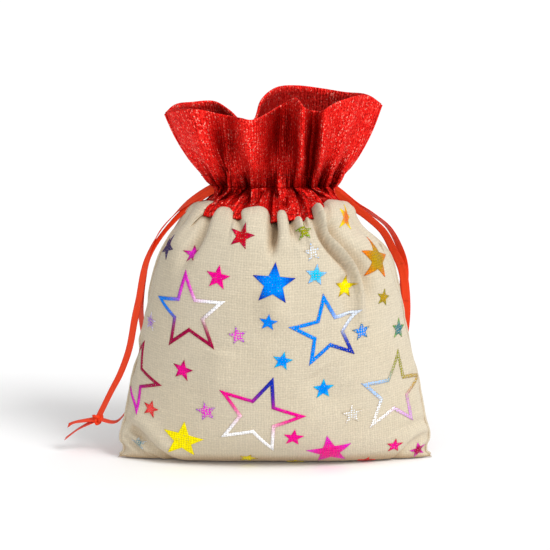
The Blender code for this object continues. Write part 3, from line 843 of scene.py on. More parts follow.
def build_ribbon(name, material):
    plane = RibbonPlane(name)
    knot_at = box_centre(name + "_knot") + KNOT_SHIFT[name]
    knot = knot_mesh(name + "_knot_ribbon", knot_at, plane, material)
    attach(knot, name + "_tail")
    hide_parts(name + "_knot")
    for strand in ("front", "back"):
        key = name + "_" + strand
        points = [np.append(plane.on_arc(*place), twist) for *place, twist in ARC_STRANDS[key]]
        points += [np.append(plane.on_drop(*place), twist) for *place, twist in DROP_STRANDS[key]]
        points.append(np.append(knot_at, points[-1][3]))
        path = smooth_line(points, 170)
        top = int(np.argmax(path[:, 2] < plane.hang[2] + 7.0))
        low = int(np.argmax(path[:, 2] < (plane.hang[2] + plane.swing[2]) / 2))
        start, end = plane.on_arc(84, 0, 0) * MM, plane.on_arc(18, 0, 0) * MM
        label = name + "_ribbon_" + strand
        run = ribbon_strip(label + "_over_shoulder", path, plane.towards_front, material, slice(0, top + 1))
        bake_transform(run)
        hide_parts(label + "_strand")
        part = slice(top - TUCKED, low + 1)
        drop = ribbon_strip(label + "_hanging", path, plane.towards_front, material, part)
        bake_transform(drop)
        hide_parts(label + "_drop")
        part = slice(low - TUCKED, None)
        tail = ribbon_strip(label + "_to_knot", path, plane.towards_front, material, part)
        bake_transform(tail)
        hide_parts(label + "_tail")
    for number, lift in ((1, 0.6), (2, -0.6)):
        node = name + "_ribbon_end_" + str(number)
        away = box_centre(node) + KNOT_SHIFT[name] - knot_at
        reach = np.linalg.norm(away)
        away /= reach
        tip = knot_at + (reach + END_LENGTH[number] / 2) * away
        middle = knot_at + reach * 0.9 * away + 0.8 * plane.up
        points = [np.append(knot_at + away * 1.5 + lift * 0.3 * plane.towards_front, 70),
                  np.append(middle + lift * plane.towards_front, 84),
                  np.append(tip + lift * 1.6 * plane.towards_front, 78 + 8 * lift)]
        end = ribbon_strip(node + "_strip", smooth_line(points, 26), plane.towards_front, material)
        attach(end, name + "_tail")
        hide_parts(node)


# Printed foil stars

PALETTE = {
    "pink": (236, 12, 140), "magenta": (222, 40, 196), "crimson": (158, 10, 66), "red": (196, 16, 30),
    "coral": (238, 70, 70), "orange": (226, 112, 30), "gold": (176, 140, 14), "yellow": (250, 232, 4),
    "olive": (140, 140, 24), "green": (110, 160, 40), "teal": (44, 112, 128), "cyan": (20, 186, 226),
    "blue": (0, 132, 246), "cobalt": (16, 44, 168), "indigo": (52, 34, 96), "violet": (152, 84, 204),
    "silver": (214, 222, 234), "white": (250, 250, 252), "lilac": (214, 150, 226), "sky": (150, 190, 240),
}
INNER_RADIUS = 0.43
LINE_WIDTH = 1.5
# Solid stars: u, v, radius, turn in degrees, colour of the middle, colour of the tips, wear from 0 to 1
FRONT_SOLID = [
    (59, 125, 6.0, 12, "red", "crimson", 0.08), (34, 115, 4.5, -10, "magenta", "crimson", 0.1),
    (18, 115, 6.0, 20, "indigo", "indigo", 0.1), (50, 106, 5.6, 5, "pink", "pink", 0.05),
    (74, 105, 9.5, 4, "blue", "cobalt", 0.04), (92, 108, 5.0, 10, "cyan", "sky", 0.15),
    (91, 118, 4.2, -8, "silver", "sky", 0.4), (88, 127, 4.2, 0, "olive", "green", 0.2),
    (115, 131.5, 7.8, 15, "orange", "yellow", 0.1), (125, 110.5, 9.4, 14, "gold", "orange", 0.06),
    (106, 101, 5.4, 8, "yellow", "gold", 0.05), (126, 93, 4.0, 20, "gold", "olive", 0.1),
    (72, 88, 4.0, 6, "blue", "blue", 0.05), (59, 81, 4.4, -12, "magenta", "violet", 0.3),
    (78, 70, 4.5, 12, "blue", "cyan", 0.08), (96, 55, 4.9, 2, "blue", "cyan", 0.05),
    (113, 80, 4.4, -5, "blue", "teal", 0.25), (135, 76, 5.0, 14, "teal", "green", 0.2),
    (109, 41, 5.0, 0, "silver", "white", 0.42), (83, 32, 4.6, 8, "pink", "pink", 0.04),
    (99, 21.5, 10.5, -8, "pink", "magenta", 0.08), (129, 19, 4.2, 16, "pink", "red", 0.1),
    (144, 9, 4.6, -6, "crimson", "magenta", 0.12), (34, 26, 10.0, 4, "yellow", "yellow", 0.03),
    (12, 16, 4.2, -10, "teal", "silver", 0.32), (17, 38, 4.4, 10, "coral", "red", 0.1),
    (45, 43, 4.9, -14, "magenta", "violet", 0.28), (34, 61, 5.2, 8, "pink", "crimson", 0.05),
    (13, 79, 4.6, 0, "violet", "silver", 0.3), (63, 15, 4.4, 20, "yellow", "gold", 0.1),
    (84, 8, 4.2, 4, "gold", "yellow", 0.1), (116, 9, 4.6, 12, "red", "coral", 0.1),
]
BACK_SOLID = [
    (20, 112, 5.5, 8, "cyan", "blue", 0.08), (44, 121, 6.5, -6, "gold", "orange", 0.06),
    (62, 108, 9.5, 10, "pink", "magenta", 0.05), (84, 118, 5.0, 0, "blue", "cobalt", 0.06),
    (106, 112, 6.5, 14, "red", "crimson", 0.08), (128, 104, 9.0, -8, "blue", "cyan", 0.05),
    (30, 88, 4.6, 6, "yellow", "gold", 0.06), (14, 66, 5.4, -12, "pink", "crimson", 0.06),
    (70, 84, 4.4, 12, "silver", "white", 0.36), (96, 90, 5.0, 4, "violet", "magenta", 0.22),
    (138, 78, 5.2, 10, "gold", "olive", 0.08), (52, 52, 4.8, 0, "blue", "blue", 0.05),
    (86, 58, 5.2, -10, "coral", "red", 0.08), (120, 58, 4.6, 16, "teal", "silver", 0.3),
    (22, 30, 9.5, 6, "blue", "cobalt", 0.05), (66, 24, 4.8, 10, "pink", "pink", 0.05),
    (92, 18, 9.5, -6, "yellow", "gold", 0.04), (132, 34, 5.2, 12, "magenta", "violet", 0.25),
    (116, 14, 4.6, 0, "red", "coral", 0.08), (44, 12, 4.4, 18, "cyan", "sky", 0.2),
    (142, 12, 4.4, -8, "gold", "yellow", 0.08), (8, 94, 4.6, 8, "violet", "silver", 0.3),
]
# Outlined stars: u, v, radius, turn, the colours of the five tips clockwise from the top, wear
FRONT_OUTLINED = [
    (36, 88, 19.5, -6, "magenta white crimson crimson blue", 0.06),
    (97.5, 82.5, 17.4, -8, "blue silver cobalt blue blue", 0.12),
    (131, 47, 20.0, 7, "olive gold lilac white sky", 0.28),
    (68, 43, 20.5, 18, "cobalt pink white white pink", 0.06),
    (4, 51, 19.0, 18, "crimson crimson magenta crimson violet", 0.08),
]
BACK_OUTLINED = [
    (42, 72, 18.5, 8, "cobalt blue violet pink magenta", 0.08),
    (112, 84, 18.0, -10, "gold olive white silver yellow", 0.2),
    (76, 42, 19.5, 14, "pink crimson white white magenta", 0.06),
    (136, 56, 17.5, -4, "blue cyan silver sky cobalt", 0.12),
    (10, 44, 17.0, 12, "crimson red coral magenta pink", 0.08),
]


def linear(colour):
    share = np.array(colour) / 255.0
    return np.where(share < 0.04045, share / 12.92, ((share + 0.055) / 1.055) ** 2.4)


def star_corners(radius, inner, turn):
    """Ten corners in cloth coordinates, clockwise from the top tip: tip, notch, tip, ..."""
    angle = math.pi / 2 - math.radians(turn) - np.arange(10) * math.pi / 5
    reach = np.where(np.arange(10) % 2 == 0, radius, inner)
    return np.stack([reach * np.cos(angle), reach * np.sin(angle)], -1)


def triangle_patch(a, b, c, size):
    """Points and triangles that divide the flat triangle a, b, c into pieces of about the given size."""
    longest = max(np.linalg.norm(side) for side in (b - a, c - a, c - b))
    n = max(1, math.ceil(longest / size))
    index, points, faces = {}, [], []
    for i in range(n + 1):
        for j in range(n + 1 - i):
            index[i, j] = len(points)
            points.append(a + (b - a) * i / n + (c - a) * j / n)
    for i in range(n):
        for j in range(n - i):
            faces.append((index[i, j], index[i + 1, j], index[i, j + 1]))
            if i + j < n - 1:
                faces.append((index[i + 1, j], index[i + 1, j + 1], index[i, j + 1]))
    return points, faces


def flat_star(corners):
    """Triangulated solid star."""
    centre = np.zeros(2)
    points, faces = [], []
    for k in range(10):
        patch, cells = triangle_patch(centre, corners[(k + 1) % 10], corners[k], 1.1)
        faces += [tuple(len(points) + i for i in cell) for cell in cells]
        points += patch
    return np.array(points), np.array(faces)


def flat_outline(outer, inner):
    """Triangulated ring between two stars."""
    points, faces = [], []
    for k in range(10):
        a, b = outer[k], outer[(k + 1) % 10]
        c, d = inner[k], inner[(k + 1) % 10]
        steps = max(2, int(math.ceil(np.linalg.norm(b - a) / 1.1)))
        base = len(points)
        for s in range(steps + 1):
            edge, within = a + (b - a) * s / steps, c + (d - c) * s / steps
            points += [edge, (edge + within) / 2, within]
        for s in range(steps):
            for lane in (0, 1):
                p = base + 3 * s + lane
                faces += [(p, p + 3, p + 1), (p + 1, p + 3, p + 4)]
    return np.array(points), np.array(faces)


def welded(points, faces):
    """Joins points that coincide."""
    keys, index = np.unique(np.round(points, 4), axis=0, return_inverse=True)
    faces = index.reshape(-1)[faces]
    keep = (faces[:, 0] != faces[:, 1]) & (faces[:, 1] != faces[:, 2]) & (faces[:, 0] != faces[:, 2])
    return keys, faces[keep]


def print_stars(name, surface, solid, outlined, material):
    """Every star of one panel as thin closed foil shapes that follow the cloth."""
    all_verts, all_faces, all_uv, all_colours, all_wear = [], [], [], [], []
    count = 0
    jobs = [(u, v, r, turn, [middle] + [tips] * 5, wear, True) for u, v, r, turn, middle, tips, wear in solid]
    jobs += [(u, v, r, turn, ["white"] + tips.split(), wear, False) for u, v, r, turn, tips, wear in outlined]
    for u, v, radius, turn, names, wear, filled in jobs:
        corners = star_corners(radius, INNER_RADIUS * radius, turn)
        if filled:
            flat, faces = flat_star(corners)
        else:
            share = 1 - LINE_WIDTH / (radius * 0.36)
            flat, faces = flat_outline(corners, corners * share)
        flat, faces = welded(flat, faces)
        cloth = flat + np.array([u, v])
        within = (cloth[:, 0] > 0.4) & (cloth[:, 0] < PANEL_WIDTH - 0.4) & (cloth[:, 1] > 0.8)
        faces = faces[within[faces].all(1)]
        normal = surface.normal(cloth[:, 0], cloth[:, 1])
        place = surface.at(cloth[:, 0], cloth[:, 1])
        top, under = place + 0.22 * normal, place - 0.10 * normal
        edges = np.concatenate([faces[:, [0, 1]], faces[:, [1, 2]], faces[:, [2, 0]]])
        forward = {tuple(e) for e in edges}
        border = np.array([e for e in forward if (e[1], e[0]) not in forward])
        n = len(flat)
        sides = np.concatenate([np.stack([border[:, 1], border[:, 0], border[:, 0] + n], -1),
                                np.stack([border[:, 1], border[:, 0] + n, border[:, 1] + n], -1)])
        angle = math.pi / 2 - math.radians(turn) - np.arctan2(flat[:, 1], flat[:, 0])
        angle = angle / (2 * math.pi / 5) % 5
        table = np.array([linear(PALETTE[k]) for k in names])
        low = angle.astype(int) % 5
        mix = smoothstep(angle - angle.astype(int))[:, None]
        tips = table[1 + low] * (1 - mix) + table[1 + (low + 1) % 5] * mix
        share = np.clip(np.linalg.norm(flat, axis=1) / radius, 0, 1)[:, None]
        share = smoothstep((share - 0.25) / 0.75) if filled else np.ones_like(share)
        colour = table[0] * (1 - share) + tips * share
        all_verts += [top, under]
        all_faces += [count + faces, count + n + faces[:, ::-1], count + sides]
        all_uv += [cloth, cloth]
        all_colours += [colour, colour]
        all_wear += [np.full(2 * n, wear)]
        count += 2 * n
    verts, faces, uv, colours = map(np.concatenate, (all_verts, all_faces, all_uv, all_colours))
    obj = mesh_object(name, verts, faces, uv, material)
    tint = obj.data.color_attributes.new("foil", "FLOAT_COLOR", "POINT")
    colours = np.concatenate([colours, np.ones((count, 1))], 1)
    tint.data.foreach_set("color", colours.astype(np.float32).ravel())
    worn = obj.data.attributes.new("wear", "FLOAT", "POINT")
    worn.data.foreach_set("value", np.concatenate(all_wear).astype(np.float32))
    return obj


# Materials

class Graph:
    """Short calls for building one material out of nodes."""

    def __init__(self, name):
        self.material = bpy.data.materials.new(name)
        self.material.use_nodes = True
        self.tree = self.material.node_tree
        self.shader = self.tree.nodes["Principled BSDF"]

    def put(self, socket, value):
        if isinstance(value, bpy.types.NodeSocket):
            self.tree.links.new(value, socket)
        elif isinstance(value, tuple) and socket.type == "RGBA" and len(value) == 3:
            socket.default_value = (*value, 1.0)
        else:
            socket.default_value = value

    def add(self, kind, output=0, settings=None, **inputs):
        node = self.tree.nodes.new(kind)
        for key, value in (settings or {}).items():
            setattr(node, key, value)
        for key, value in inputs.items():
            self.put(node.inputs[key.replace("_", " ")], value)
        return node.outputs[output]

    def math(self, operation, *values):
        node = self.tree.nodes.new("ShaderNodeMath")
        node.operation = operation
        for socket, value in zip(node.inputs, values):
            self.put(socket, value)
        return node.outputs[0]

    def uv(self):
        return self.add("ShaderNodeUVMap", settings={"uv_map": "cloth"})

    def split(self, vector):
        node = self.tree.nodes.new("ShaderNodeSeparateXYZ")
        self.put(node.inputs[0], vector)
        return node.outputs[0], node.outputs[1]

    def vector(self, x, y, z=0.0):
        return self.add("ShaderNodeCombineXYZ", X=x, Y=y, Z=z)

    def noise(self, vector, scale, detail=2.0, roughness=0.5):
        return self.add("ShaderNodeTexNoise", Vector=vector, Scale=scale, Detail=detail, Roughness=roughness)

    def remap(self, value, low, high, to_low, to_high):
        node = self.tree.nodes.new("ShaderNodeMapRange")
        for socket, number in zip(node.inputs, (value, low, high, to_low, to_high)):
            self.put(socket, number)
        return node.outputs[0]

    def mix(self, factor, a, b, blend="MIX"):
        node = self.tree.nodes.new("ShaderNodeMix")
        node.data_type = "RGBA"
        node.blend_type = blend
        self.put(node.inputs[0], factor)
        self.put(node.inputs[6], a)
        self.put(node.inputs[7], b)
        return node.outputs[2]

    def ramp(self, value, stops, constant=False):
        node = self.tree.nodes.new("ShaderNodeValToRGB")
        self.put(node.inputs[0], value)
        ramp = node.color_ramp
        ramp.interpolation = "CONSTANT" if constant else "LINEAR"
        while len(ramp.elements) < len(stops):
            ramp.elements.new(0.5)
        for element, (place, colour) in zip(ramp.elements, stops):
            element.position = place
            element.color = (*colour, 1.0)
        return node.outputs[0]

    def bump(self, height, distance, strength=1.0):
        return self.add("ShaderNodeBump", Height=height, Distance=distance * MM, Strength=strength)

    def painted_crease_shade(self, colour, reach, deep, full=0.25):
        """Painted shade: the colour, going over to the deep one in creases narrower than reach, in
        millimetres, by ambient occlusion.
        """
        node = self.tree.nodes.new("ShaderNodeAmbientOcclusion")
        node.samples = 6
        node.inputs["Distance"].default_value = reach * MM
        open_share = self.remap(node.outputs["AO"], full, 0.92, 0.0, 1.0)
        return self.mix(open_share, self.mix(1.0, colour, deep, "MULTIPLY"), colour)

    def finish(self, **inputs):
        for key, value in inputs.items():
            self.put(self.shader.inputs[key.replace("_", " ")], value)
        return self.material


def plain_weave(g, pitch):
    """Height of a plain weave from 0 to 1, and a tone from 0 to 1 that wanders along each thread."""
    uv = g.uv()
    u, v = g.split(uv)
    bend = g.math("MULTIPLY", g.math("SUBTRACT", g.noise(uv, 0.35, 3.0), 0.5), 1.3)
    x = g.math("ADD", g.math("DIVIDE", u, pitch), bend)
    y = g.math("SUBTRACT", g.math("DIVIDE", v, pitch), bend)
    warp, weft = g.math("FLOOR", x), g.math("FLOOR", y)
    warp_round = g.math("SINE", g.math("MULTIPLY", g.math("FRACT", x), math.pi))
    weft_round = g.math("SINE", g.math("MULTIPLY", g.math("FRACT", y), math.pi))
    over_warp = g.math("COSINE", g.math("MULTIPLY", g.math("ADD", g.math("SUBTRACT", y, 0.5), warp), math.pi))
    over_weft = g.math("COSINE", g.math("MULTIPLY", g.math("ADD", g.math("SUBTRACT", x, 0.5), weft), math.pi))
    warp_height = g.math("MULTIPLY", warp_round, g.math("MULTIPLY_ADD", over_warp, 0.34, 0.66))
    weft_height = g.math("MULTIPLY", weft_round, g.math("MULTIPLY_ADD", over_weft, -0.34, 0.66))
    warp_tone = g.noise(g.vector(g.math("MULTIPLY", warp, 7.31), g.math("MULTIPLY", v, 0.10)), 1.0, 2.0)
    weft_tone = g.noise(g.vector(g.math("MULTIPLY", u, 0.10), g.math("MULTIPLY", weft, 5.17)), 1.0, 2.0)
    on_top = g.math("GREATER_THAN", warp_height, weft_height)
    under = g.math("SUBTRACT", 1.0, on_top)
    tone = g.math("ADD", g.math("MULTIPLY", on_top, warp_tone), g.math("MULTIPLY", under, weft_tone))
    return g.math("MAXIMUM", warp_height, weft_height), tone


LINEN = (0.58, 0.51, 0.385)
WEAVE_PITCH = 1.15


def linen_colour(g, height, tone):
    uv = g.uv()
    speck = g.noise(uv, 1.1, 3.0, 0.7)
    # painted shade: darker in the hollows between the threads (height); the thread tone and the specks are
    # the linen's own
    shade = g.math("MULTIPLY", g.remap(height, 0.25, 1.0, 0.88, 1.03), g.remap(tone, 0.25, 0.75, 0.91, 1.07))
    shade = g.math("MULTIPLY", shade, g.remap(speck, 0.3, 0.7, 0.90, 1.08))
    blotch = g.mix(g.noise(uv, 0.035, 3.0), (0.99, 0.97, 0.93), (1.0, 1.01, 1.04))
    fleck = g.math("GREATER_THAN", g.noise(g.vector(*g.split(uv)), 1.9, 1.0), 0.74)
    cloth = g.mix(g.math("MULTIPLY", fleck, 0.35), LINEN, (0.50, 0.38, 0.24))
    cloth = g.mix(1.0, cloth, blotch, "MULTIPLY")
    return g.mix(1.0, cloth, g.vector(shade, shade, shade), "MULTIPLY")


def linen_material():
    g = Graph("natural_linen")
    height, tone = plain_weave(g, WEAVE_PITCH)
    fibre = g.noise(g.uv(), 5.0, 2.0)
    relief = g.math("MULTIPLY_ADD", fibre, 0.25, height)
    # painted shade: the linen goes brown in creases narrower than 7 mm
    colour = g.painted_crease_shade(linen_colour(g, height, tone), 7.0, (0.78, 0.62, 0.47))
    return g.finish(
        Base_Color=colour, Roughness=g.remap(tone, 0.2, 0.8, 0.82, 0.98),
        Specular_IOR_Level=0.25, Sheen_Weight=0.15, Sheen_Roughness=0.5, Normal=g.bump(relief, 0.18, 0.5),
    )


def lurex_material():
    """Red cloth woven with metallic yarn: small facets that catch the light at random, in upright ribs, with
    painted glints and painted shade in its colour.
    """
    g = Graph("red_lurex")
    u, v = g.split(g.uv())
    facets = g.tree.nodes.new("ShaderNodeTexVoronoi")
    facets.voronoi_dimensions = "2D"
    g.put(facets.inputs["Vector"], g.vector(g.math("MULTIPLY", u, 2.3), g.math("MULTIPLY", v, 1.5)))
    g.put(facets.inputs["Scale"], 1.0)
    random = facets.outputs["Color"]
    value, tilt = g.split(random)
    rib = g.math("SINE", g.math("MULTIPLY", u, 2 * math.pi / 1.5))
    streak = g.noise(g.vector(g.math("MULTIPLY", u, 1.1), g.math("MULTIPLY", v, 0.06)), 1.0, 3.0)
    mixed = g.math("ADD", g.math("MULTIPLY_ADD", rib, 0.05, value), g.remap(streak, 0.3, 0.7, -0.16, 0.16))
    # Random tone per facet and rib; the pale pink top of the ramp paints glints on the brightest facets.
    colour = g.ramp(mixed, [
        (0.0, (0.44, 0.003, 0.003)), (0.30, (0.78, 0.010, 0.008)), (0.78, (0.96, 0.026, 0.018)),
        (0.93, (1.0, 0.07, 0.05)), (0.99, (1.0, 0.32, 0.25)),
    ])
    normal = g.tree.nodes.new("ShaderNodeVectorMath")
    normal.operation = "MULTIPLY_ADD"
    g.put(normal.inputs[0], random)
    normal.inputs[1].default_value = (0.56, 0.56, 0.56)
    normal.inputs[2].default_value = (-0.28, -0.28, -0.28)
    jolt = g.tree.nodes.new("ShaderNodeVectorMath")
    jolt.operation = "ADD"
    g.put(jolt.inputs[0], g.add("ShaderNodeNewGeometry", output="Normal"))
    g.put(jolt.inputs[1], normal.outputs[0])
    level = g.tree.nodes.new("ShaderNodeVectorMath")
    level.operation = "NORMALIZE"
    g.put(level.inputs[0], jolt.outputs[0])
    relief = g.math("MULTIPLY_ADD", rib, 0.5, value)
    grain = g.add("ShaderNodeBump", Height=relief, Distance=0.25 * MM, Strength=0.8, Normal=level.outputs[0])
    # The inside face of the cuff, darker red: partly the plainer back of the cloth, partly painted shade.
    inside = g.remap(v, V_RIM + 1.0, V_RIM + 4.0, 0.0, 1.0)
    colour = g.mix(g.math("MULTIPLY", inside, 0.75), colour, (0.16, 0.0, 0.0))
    # painted shade: the red goes dark in creases narrower than 20 mm
    colour = g.painted_crease_shade(colour, 20.0, (0.26, 0.0, 0.0), 0.38)
    return g.finish(
        Base_Color=colour, Metallic=g.math("MULTIPLY_ADD", inside, -0.4, 0.6),
        Roughness=g.remap(tilt, 0.0, 1.0, 0.30, 0.58),
        Specular_IOR_Level=0.2, Specular_Tint=(1.0, 0.25, 0.20), Normal=grain,
    )


def satin_material():
    g = Graph("orange_red_satin")
    u, v = g.split(g.uv())
    streak = g.noise(g.vector(g.math("MULTIPLY", u, 0.12), g.math("MULTIPLY", v, 3.5)), 1.0, 3.0)
    rib = g.math("SINE", g.math("MULTIPLY", u, 2 * math.pi / 0.42))
    edge = g.remap(g.math("ABSOLUTE", v), 1.55, 1.95, 0.0, 1.0)
    colour = g.mix(streak, (0.72, 0.034, 0.006), (0.92, 0.070, 0.016))
    colour = g.mix(g.math("MULTIPLY", edge, 0.5), colour, (0.60, 0.02, 0.01))
    relief = g.math("ADD", g.math("MULTIPLY", rib, 0.3), streak)
    return g.finish(
        Base_Color=colour, Roughness=g.remap(streak, 0.3, 0.7, 0.34, 0.50), Specular_IOR_Level=0.3,
        Specular_Tint=(1.0, 0.6, 0.5), Normal=g.bump(relief, 0.06, 0.7),
    )


def foil_material():
    """Hot-stamped foil: the print's own colours, with painted shade in the hollows of the weave under it, and
    worn through in places.
    """
    g = Graph("printed_foil")
    height, tone = plain_weave(g, WEAVE_PITCH)
    tint = g.add("ShaderNodeAttribute", settings={"attribute_name": "foil"})
    wear = g.add("ShaderNodeAttribute", output="Fac", settings={"attribute_name": "wear"})
    drift = g.noise(g.uv(), 0.45, 2.0)
    # painted shade: the foil darker in the hollows of the weave (height), with a random drift in tone
    shade = g.math("MULTIPLY", g.remap(height, 0.3, 0.95, 0.72, 1.10), g.remap(drift, 0.3, 0.7, 0.88, 1.12))
    foil = g.mix(1.0, tint, g.vector(shade, shade, shade), "MULTIPLY")
    patch = g.math("ADD", g.math("MULTIPLY", g.noise(g.uv(), 1.1, 2.0), 0.6), g.math("MULTIPLY", height, 0.5))
    bare = g.math("GREATER_THAN", g.math("ADD", wear, 0.28), patch)
    colour = g.mix(bare, foil, linen_colour(g, height, tone))
    metal = g.math("MULTIPLY", g.math("SUBTRACT", 1.0, bare), 0.2)
    return g.finish(
        Base_Color=colour, Metallic=metal, Roughness=g.math("MULTIPLY_ADD", bare, 0.5, 0.38),
        Specular_IOR_Level=0.3, Specular_Tint=tint, Normal=g.bump(height, 0.16, 0.8),
    )


def thread_material(name, dark, light):
    g = Graph(name)
    u, v = g.split(g.uv())
    ply = g.math("SINE", g.math("MULTIPLY", g.math("ADD", u, g.math("MULTIPLY", v, 1.4)), 2 * math.pi / 0.55))
    shade = g.math("MULTIPLY_ADD", ply, 0.25, g.noise(g.uv(), 2.5, 2.0))
    return g.finish(Base_Color=g.mix(shade, dark, light), Roughness=0.8, Specular_IOR_Level=0.1,
                    Normal=g.bump(ply, 0.08, 0.8))


def floor_material():
    g = Graph("pale_floor")
    place = g.add("ShaderNodeTexCoord", output="Object")
    colour = g.mix(g.noise(place, 6.0, 3.0), (0.93, 0.93, 0.93), (0.95, 0.95, 0.95))
    return g.finish(Base_Color=colour, Roughness=0.9)


# Assembly

def opening_blend(obj):
    """Bakes the object's transform into its mesh."""
    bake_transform(obj)


def seam_line(grid, column, v, low, high, count):
    """Points down one column of the cloth grid between two path lengths."""
    place = np.linspace(low, high, count)
    return np.stack([np.interp(place, v, grid[:, column, k]) for k in range(3)], -1)


def drawn_ribbon(name, half, reach, material):
    """The part of a ribbon that lies hidden inside one half of the gathered channel."""
    angle = np.linspace(0.06, math.pi - 0.06, 60)
    facing = -1.0 if half == "front" else 1.0
    x, y = -reach[0] * np.cos(angle), facing * reach[1] * np.sin(angle)
    path = np.stack([x, y, 0 * angle + NECK_Z, 0 * angle], -1)
    return ribbon_strip(name, path, np.array([0.001, -0.999, 0.0]), material, standing=True)


def build_cloth(grid, v, materials):
    """Panels, cuffs, stitching, stars and seams, from the draped grid whose rows lie at path lengths v."""
    closed = np.concatenate([grid, grid[:, :1]], axis=1)
    columns = {"front": slice(0, PANEL_COLUMNS + 1), "back": slice(PANEL_COLUMNS, None)}
    halves = {half: Surface(closed[:, part], DU, DV) for half, part in columns.items()}
    folds = {"front": (FRONT_FOLDS, FRONT_FLAPS, 0.0), "back": (BACK_FOLDS, BACK_FLAPS, PANEL_WIDTH)}
    u = np.linspace(0, PANEL_WIDTH, 2 * PANEL_COLUMNS + 1)
    linen, lurex = materials["linen"], materials["lurex"]
    stars = {"front": (FRONT_SOLID, FRONT_OUTLINED), "back": (BACK_SOLID, BACK_OUTLINED)}
    for half, surface in halves.items():
        pressed, flaps, first = folds[half]
        panel_surface = linen_surface(surface, pressed, flaps, first)
        reach = V_CUFF + gathers(u + first)[0]
        up = np.linspace(0, 1, 241)[:, None] * reach
        panel = sheet(half + "_panel_cloth", panel_surface, u, up, LINEN_THICKNESS, 0.0, linen)
        opening_blend(panel)
        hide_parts(half + "_panel", half + "_gathered_top")
        up = np.linspace(V_CUFF - 1.5, V_NECK_ROW, 25)
        channel = sheet(half + "_channel_cloth", surface, u, up, LUREX_THICKNESS, LUREX_LIFT, lurex)
        opening_blend(channel)
        up = np.linspace(V_NECK_ROW, V_RIM, 66)
        cuff = sheet(half + "_cuff_cloth", surface, u, up, LUREX_THICKNESS, LUREX_LIFT, lurex, folded=True)
        opening_blend(cuff)
        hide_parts(half + "_cuff")
        for owner, reach in (("right", (23.5, 5.6)), ("left", (22.5, 4.8))):
            drawn = drawn_ribbon(owner + "_ribbon_in_" + half + "_channel", half, reach, materials["satin"])
            opening_blend(drawn)
            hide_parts(owner + "_ribbon_" + half + "_run")
        thread = materials["red_thread"]
        upper = stitch_row(half + "_upper_stitching", surface, V_NECK_ROW + 7.0, LUREX_LIFT, thread)
        opening_blend(upper)
        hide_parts(half + "_upper_stitches")
        lower = stitch_row(half + "_lower_stitching", surface, V_CUFF + 1.5, LUREX_LIFT, thread)
        opening_blend(lower)
        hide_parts(half + "_lower_stitches")
        foil = print_stars(half + "_foil_stars", panel_surface, *stars[half], materials["foil"])
        opening_blend(foil)
    for name, column, side in (("left", 0, -1.0), ("right", PANEL_COLUMNS, 1.0)):
        top = V_CUFF + float(gathers(np.array([column * DU]))[0][0])
        line = seam_line(grid, column, v, 2.0, top - 1.0, 96)
        seam = cord(name + "_side_seam_ridge", line, [side, 0.0, 0.0] + 0 * line, 0.75, 0.8, linen)
        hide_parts(name + "_side_seam")
        line = seam_line(grid, column, v, V_CUFF, V_RIM, 60)
        cuff_seam = cord(name + "_cuff_seam_ridge", line, [side, 0.0, 0.0] + 0 * line, 0.8, 0.9, lurex)
        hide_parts(name + "_cuff_seam")
        for obj in (seam, cuff_seam):
            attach(obj, "sack")
    low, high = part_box("bottom_seam")
    x = np.linspace(low.x, high.x, 90) / MM
    line = np.stack([x, 0 * x, 0.75 + 0 * x], -1)
    bottom = cord("bottom_seam_ridge", line, [0.0, 0.0, 1.0] + 0 * line, 0.55, 0.9, linen)
    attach(bottom, "sack")
    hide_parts("bottom_seam")


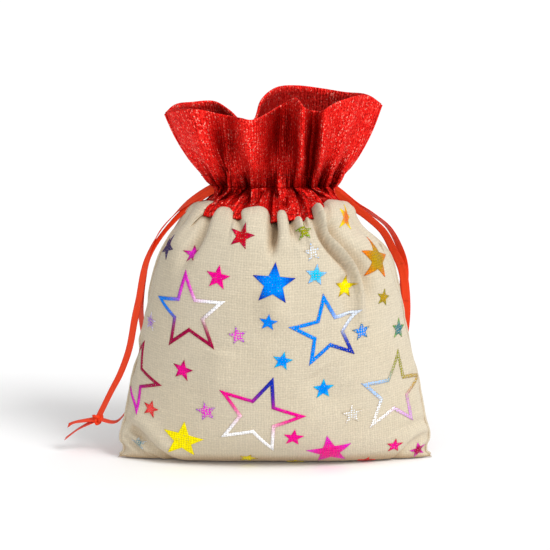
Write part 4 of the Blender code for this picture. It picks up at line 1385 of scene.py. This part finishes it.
def build_stage():
    world = bpy.data.worlds.new("studio")
    world.use_nodes = True
    tree = world.node_tree
    background = tree.nodes["Background"]
    background.inputs[0].default_value = (1, 1, 1, 1)
    direction = tree.nodes.new("ShaderNodeTexCoord")
    towards = tree.nodes.new("ShaderNodeVectorMath")
    towards.operation = "DOT_PRODUCT"
    tree.links.new(direction.outputs["Generated"], towards.inputs[0])
    towards.inputs[1].default_value = WORLD_BRIGHT_SIDE
    sky = tree.nodes.new("ShaderNodeMapRange")
    sky.interpolation_type = "SMOOTHSTEP"
    tree.links.new(towards.outputs["Value"], sky.inputs[0])
    for socket, value in zip(list(sky.inputs)[1:5], (-0.4, 0.95, *WORLD_LIGHT)):
        socket.default_value = value
    path = tree.nodes.new("ShaderNodeLightPath")
    strength = tree.nodes.new("ShaderNodeMapRange")
    tree.links.new(path.outputs["Is Camera Ray"], strength.inputs[0])
    tree.links.new(sky.outputs[0], strength.inputs[3])
    strength.inputs[4].default_value = 1.05
    tree.links.new(strength.outputs[0], background.inputs[1])
    bpy.context.scene.world = world
    bpy.ops.mesh.primitive_plane_add(size=8, location=(0, 0, 0))
    floor = bpy.context.object
    floor.name = "floor"
    floor.data.materials.append(floor_material())
    for name, strength, spread, place in SUNS:
        data = bpy.data.lights.new(name, "SUN")
        data.energy = strength
        data.angle = math.radians(spread)
        lamp = bpy.data.objects.new(name, data)
        lamp.rotation_euler = (-Vector(place)).to_track_quat("-Z", "Y").to_euler()
        bpy.context.scene.collection.objects.link(lamp)


WORLD_LIGHT = (0.27, 0.86)        # soft light from the dark side and from the bright side
WORLD_BRIGHT_SIDE = (0.50, -0.30, 0.81)
# Broad soft lights: name, strength, spread in degrees, and the direction each comes from
SUNS = [("key", 1.85, 22.0, (0.62, -0.60, 0.80)), ("front", 0.75, 50.0, (-0.10, -1.0, 0.15))]
CAMERA_ELEVATION = 9.0
CAMERA_LENS = 110.0
HALF_FRAME = 0.1288
AIM = Vector((0.0, 0.0, 0.088))


def build_camera():
    camera = bpy.data.objects.new("camera", bpy.data.cameras.new("camera"))
    bpy.context.scene.collection.objects.link(camera)
    camera.data.lens = CAMERA_LENS
    elevation = math.radians(CAMERA_ELEVATION)
    back = Vector((0, -math.cos(elevation), math.sin(elevation)))
    half_angle = math.atan(camera.data.sensor_width / 2 / CAMERA_LENS)
    camera.location = AIM + back * (HALF_FRAME / math.tan(half_angle))
    camera.rotation_euler = (-back).to_track_quat("-Z", "Y").to_euler()
    bpy.context.scene.camera = camera


MATERIALS = {
    "linen": linen_material(),
    "lurex": lurex_material(),
    "satin": satin_material(),
    "foil": foil_material(),
    "red_thread": thread_material("red_sewing_thread", (0.28, 0.003, 0.003), (0.52, 0.012, 0.010)),
}
STEPS, SWEEPS = ((160, 5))
cloth_v = np.linspace(0, V_RIM, ROWS + 1)
cloth_grid = drape(cloth_v, STEPS, SWEEPS)
flare_cuff(cloth_grid, cloth_v)
slim_shoulders(cloth_grid)
crinkle_channel(cloth_grid, cloth_v)
build_cloth(cloth_grid, cloth_v, MATERIALS)
for side_name in ("left", "right"):
    build_ribbon(side_name, MATERIALS["satin"])
build_stage()
build_camera()
bpy.context.scene.view_settings.view_transform = "Standard"
